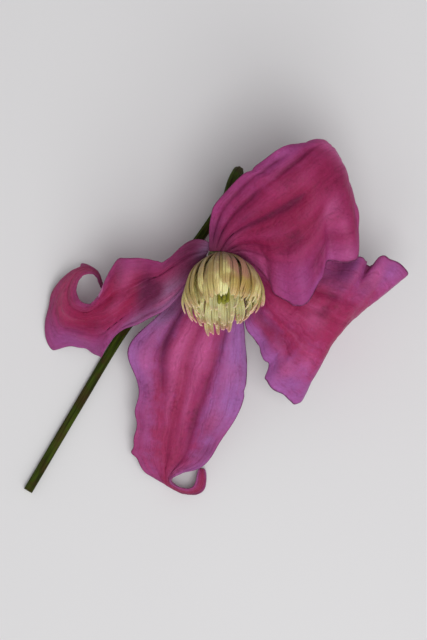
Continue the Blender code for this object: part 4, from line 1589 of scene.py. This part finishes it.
@dataclass
class Pedicel:
    """The flower's own stalk: ribbed, swollen at its collar and cut across at its far end."""

    route: Sequence[Point] = (
        (0.1, 1.9, -1.05), (0.4, 5.8, -3.2), (0.9, 10.2, -5.6), (1.9, 14.4, -8.3), (3.1, 17.0, -12.0),
        (3.5, 16.8, -16.2), (2.0, 13.8, -19.35), (-1.5, 8.0, -20.05), (-6.8, 0.6, -20.05),
        (-13.0, -6.8, -20.05), (-19.3, -14.3, -20.05), (-26.8, -26.4, -20.05), (-33.3, -37.4, -20.05),
        (-39.2, -47.4, -20.05),
    )
    radius: float = 0.95  # mm
    collar_radius: float = 1.5  # mm
    collar_share: float = 0.035  # share of the length over which the collar falls away
    ribs: int = 8
    rib_height: float = 0.055  # mm
    rib_loss: float = 0.6  # share of its height that a rib loses on the collar
    lump: float = 0.03  # mm
    lump_scale: tuple[float, float] = (2.0, 0.06)  # lumps round the stalk, and along it to each cut
    sides: int = 48
    cuts: int = 420
    wall: float = 0.12  # how thick the skin is at the cut end, mm
    pith_share: float = 0.45  # how far in from the wall the pith's edge lies, to the radius
    pith_depth: float = 0.10  # how far the pith has sunk, mm
    finish: StalkFinish = StalkFinish()

    def build(self, origin: Vector) -> bpy.types.Object:
        """Makes the piece.

        Args:
            origin: the middle of the receptacle, in metres.

        Returns:
            The stalk, with its skin and its cut end in two materials.
        """
        forward = np.linspace(0.0, 1.0, self.cuts + 1)
        line = smooth_line(self.route, forward)
        tangents = unit(np.gradient(line, axis=0))
        across = [unit(np.cross(tangents[0], (1.0, 0.0, 0.0)))]
        for tangent in tangents[1:]:
            carried = across[-1] - tangent * float(across[-1] @ tangent)
            across.append(unit(carried))
        upright = [np.cross(tangent, side) for tangent, side in zip(tangents, across)]
        swell = np.exp(-((forward / self.collar_share) ** 2))
        radii = self.radius + (self.collar_radius - self.radius) * swell
        lumps, lumps_along = self.lump_scale

        def place(around: int, along: int) -> Placed:
            """The point on the ribbed skin, which has no marks."""
            turn = 2.0 * math.pi * around / self.sides
            spot = Vector((lumps * math.cos(turn), lumps * math.sin(turn), along * lumps_along))
            lump = self.lump * noise.noise(spot)
            rib = self.rib_height * (math.cos(self.ribs * turn) - 1.0)
            rib *= 1.0 - self.rib_loss * swell[along]
            out = math.cos(turn) * across[along] + math.sin(turn) * upright[along]
            return line[along] + (radii[along] + rib + lump) * out, ()

        bm = wrapped_grid(self.sides, self.cuts, place)
        self.close_ends(bm)
        skin = self.finish.make("pedicel_skin", origin)
        cut = self.finish.make_cut("pedicel_cut", origin)
        return finished("pedicel_stalk", bm, Matrix.Translation(origin), [skin, cut], ["pedicel"])

    def close_ends(self, bm: bmesh.types.BMesh) -> None:
        """Caps both ends and rings the far one with the edge of its pith."""
        surface = bm.loops.layers.uv[SURFACE_MAP]
        caps = close_holes(bm)
        pith = [min(caps, key=lambda face: face.calc_center_median().y)]
        inset = bmesh.ops.inset_region
        wall = inset(bm, faces=pith, thickness=self.wall * MM, depth=0.0, use_even_offset=True)["faces"]
        flesh = inset(
            bm, faces=pith, thickness=self.pith_share * self.radius * MM, depth=-self.pith_depth * MM
        )["faces"]
        for ring, outward in ((wall, 0.95), (flesh, 0.65), (pith, 0.2)):
            for face in ring:
                face.material_index = 1
                for loop in face.loops:
                    loop[surface].uv = (outward, 1.0)


# --- studio ---


@dataclass(frozen=True)
class Lamp:
    """One round soft light that points at the flower."""

    name: str
    at: Point  # m
    size: float  # m
    watts: float

    def hang(self) -> None:
        """Adds the light to the scene."""
        lamp = bpy.data.lights.new(self.name, "AREA")
        lamp.shape = "DISK"
        lamp.size = self.size
        lamp.energy = self.watts
        light = bpy.data.objects.new(self.name, lamp)
        light.location = self.at
        light.rotation_euler = (-Vector(self.at)).to_track_quat("-Z", "Y").to_euler()
        bpy.context.scene.collection.objects.link(light)


@dataclass
class Studio:
    """The pale table, the soft lights and the camera that looks straight down."""

    flower_share: float = 0.90  # of the picture's width
    picture: tuple[int, int] = (427, 640)
    camera_height: float = 1.1  # m
    camera_reach: float = 10.0  # m
    sensor_mm: float = 36.0
    table_size: float = 3.0  # m
    sky: float = 0.39
    sky_colour: Colour = (1.0, 0.99, 1.0)
    lamps: Sequence[Lamp] = (
        Lamp("key", (0.13, -0.17, 0.85), 0.50, 3.1),
        Lamp("fill", (0.14, -0.62, 0.60), 0.70, 2.0),
    )
    finish: TableFinish = TableFinish()

    def build(self, low: Vector, high: Vector) -> None:
        """Makes everything round the flower.

        Args:
            low: the lowest corner of the flower's box, in metres.
            high: its highest corner.
        """
        self.lay_table(low.z)
        self.hang_lights()
        self.place_camera(low, high)

    def lay_table(self, height: float) -> None:
        """A wide flat table under the flower."""
        bm = bmesh.new()
        bmesh.ops.create_grid(bm, x_segments=4, y_segments=4, size=self.table_size / 2.0)
        bmesh.ops.translate(bm, verts=bm.verts, vec=(0.0, 0.0, height))
        mesh = bpy.data.meshes.new("table")
        bm.to_mesh(mesh)
        bm.free()
        mesh.materials.append(self.finish.make("table_finish", Vector()))
        table = bpy.data.objects.new("table", mesh)
        bpy.context.scene.collection.objects.link(table)
        table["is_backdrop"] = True

    def hang_lights(self) -> None:
        """An even sky, a key light high up to the right and a broad, lower fill beyond the flower's foot."""
        world = bpy.data.worlds.new("studio_sky")
        world.use_nodes = True
        background = world.node_tree.nodes["Background"]
        background.inputs["Color"].default_value = (*self.sky_colour, 1.0)
        background.inputs["Strength"].default_value = self.sky
        bpy.context.scene.world = world
        for lamp in self.lamps:
            lamp.hang()

    def place_camera(self, low: Vector, high: Vector) -> None:
        """A long lens straight above, with the flower filling most of the picture's width."""
        middle = (low + high) / 2.0
        wide, tall = self.picture
        seen = (high.x - low.x) / self.flower_share * tall / wide
        lens = bpy.data.cameras.new("camera")
        lens.sensor_width = self.sensor_mm
        lens.lens = self.sensor_mm * self.camera_height / seen
        lens.clip_end = self.camera_reach
        camera = bpy.data.objects.new("camera", lens)
        camera.location = (middle.x, middle.y, middle.z + self.camera_height)
        bpy.context.scene.collection.objects.link(camera)
        bpy.context.scene.camera = camera
        bpy.context.scene.view_settings.view_transform = "Standard"


def main() -> None:
    """Loads the frame and builds the flower piece by piece, then the table, lights and camera."""
    logging.basicConfig(level=logging.INFO, format="%(name)s: %(message)s")
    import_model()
    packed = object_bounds()
    low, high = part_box("receptacle")
    origin = (low + high) / 2.0
    tilt = math.radians(FACE_TILT_DEG)
    axis = Vector((0.0, -math.sin(tilt), math.cos(tilt)))
    for tepal in TEPALS:
        tepal.build(origin, axis)
    Boss().build(origin)
    Receptacle().build(origin)
    Pedicel().build(origin)
    Studio().build(*packed)
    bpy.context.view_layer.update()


if __name__ == "__main__":
    main()
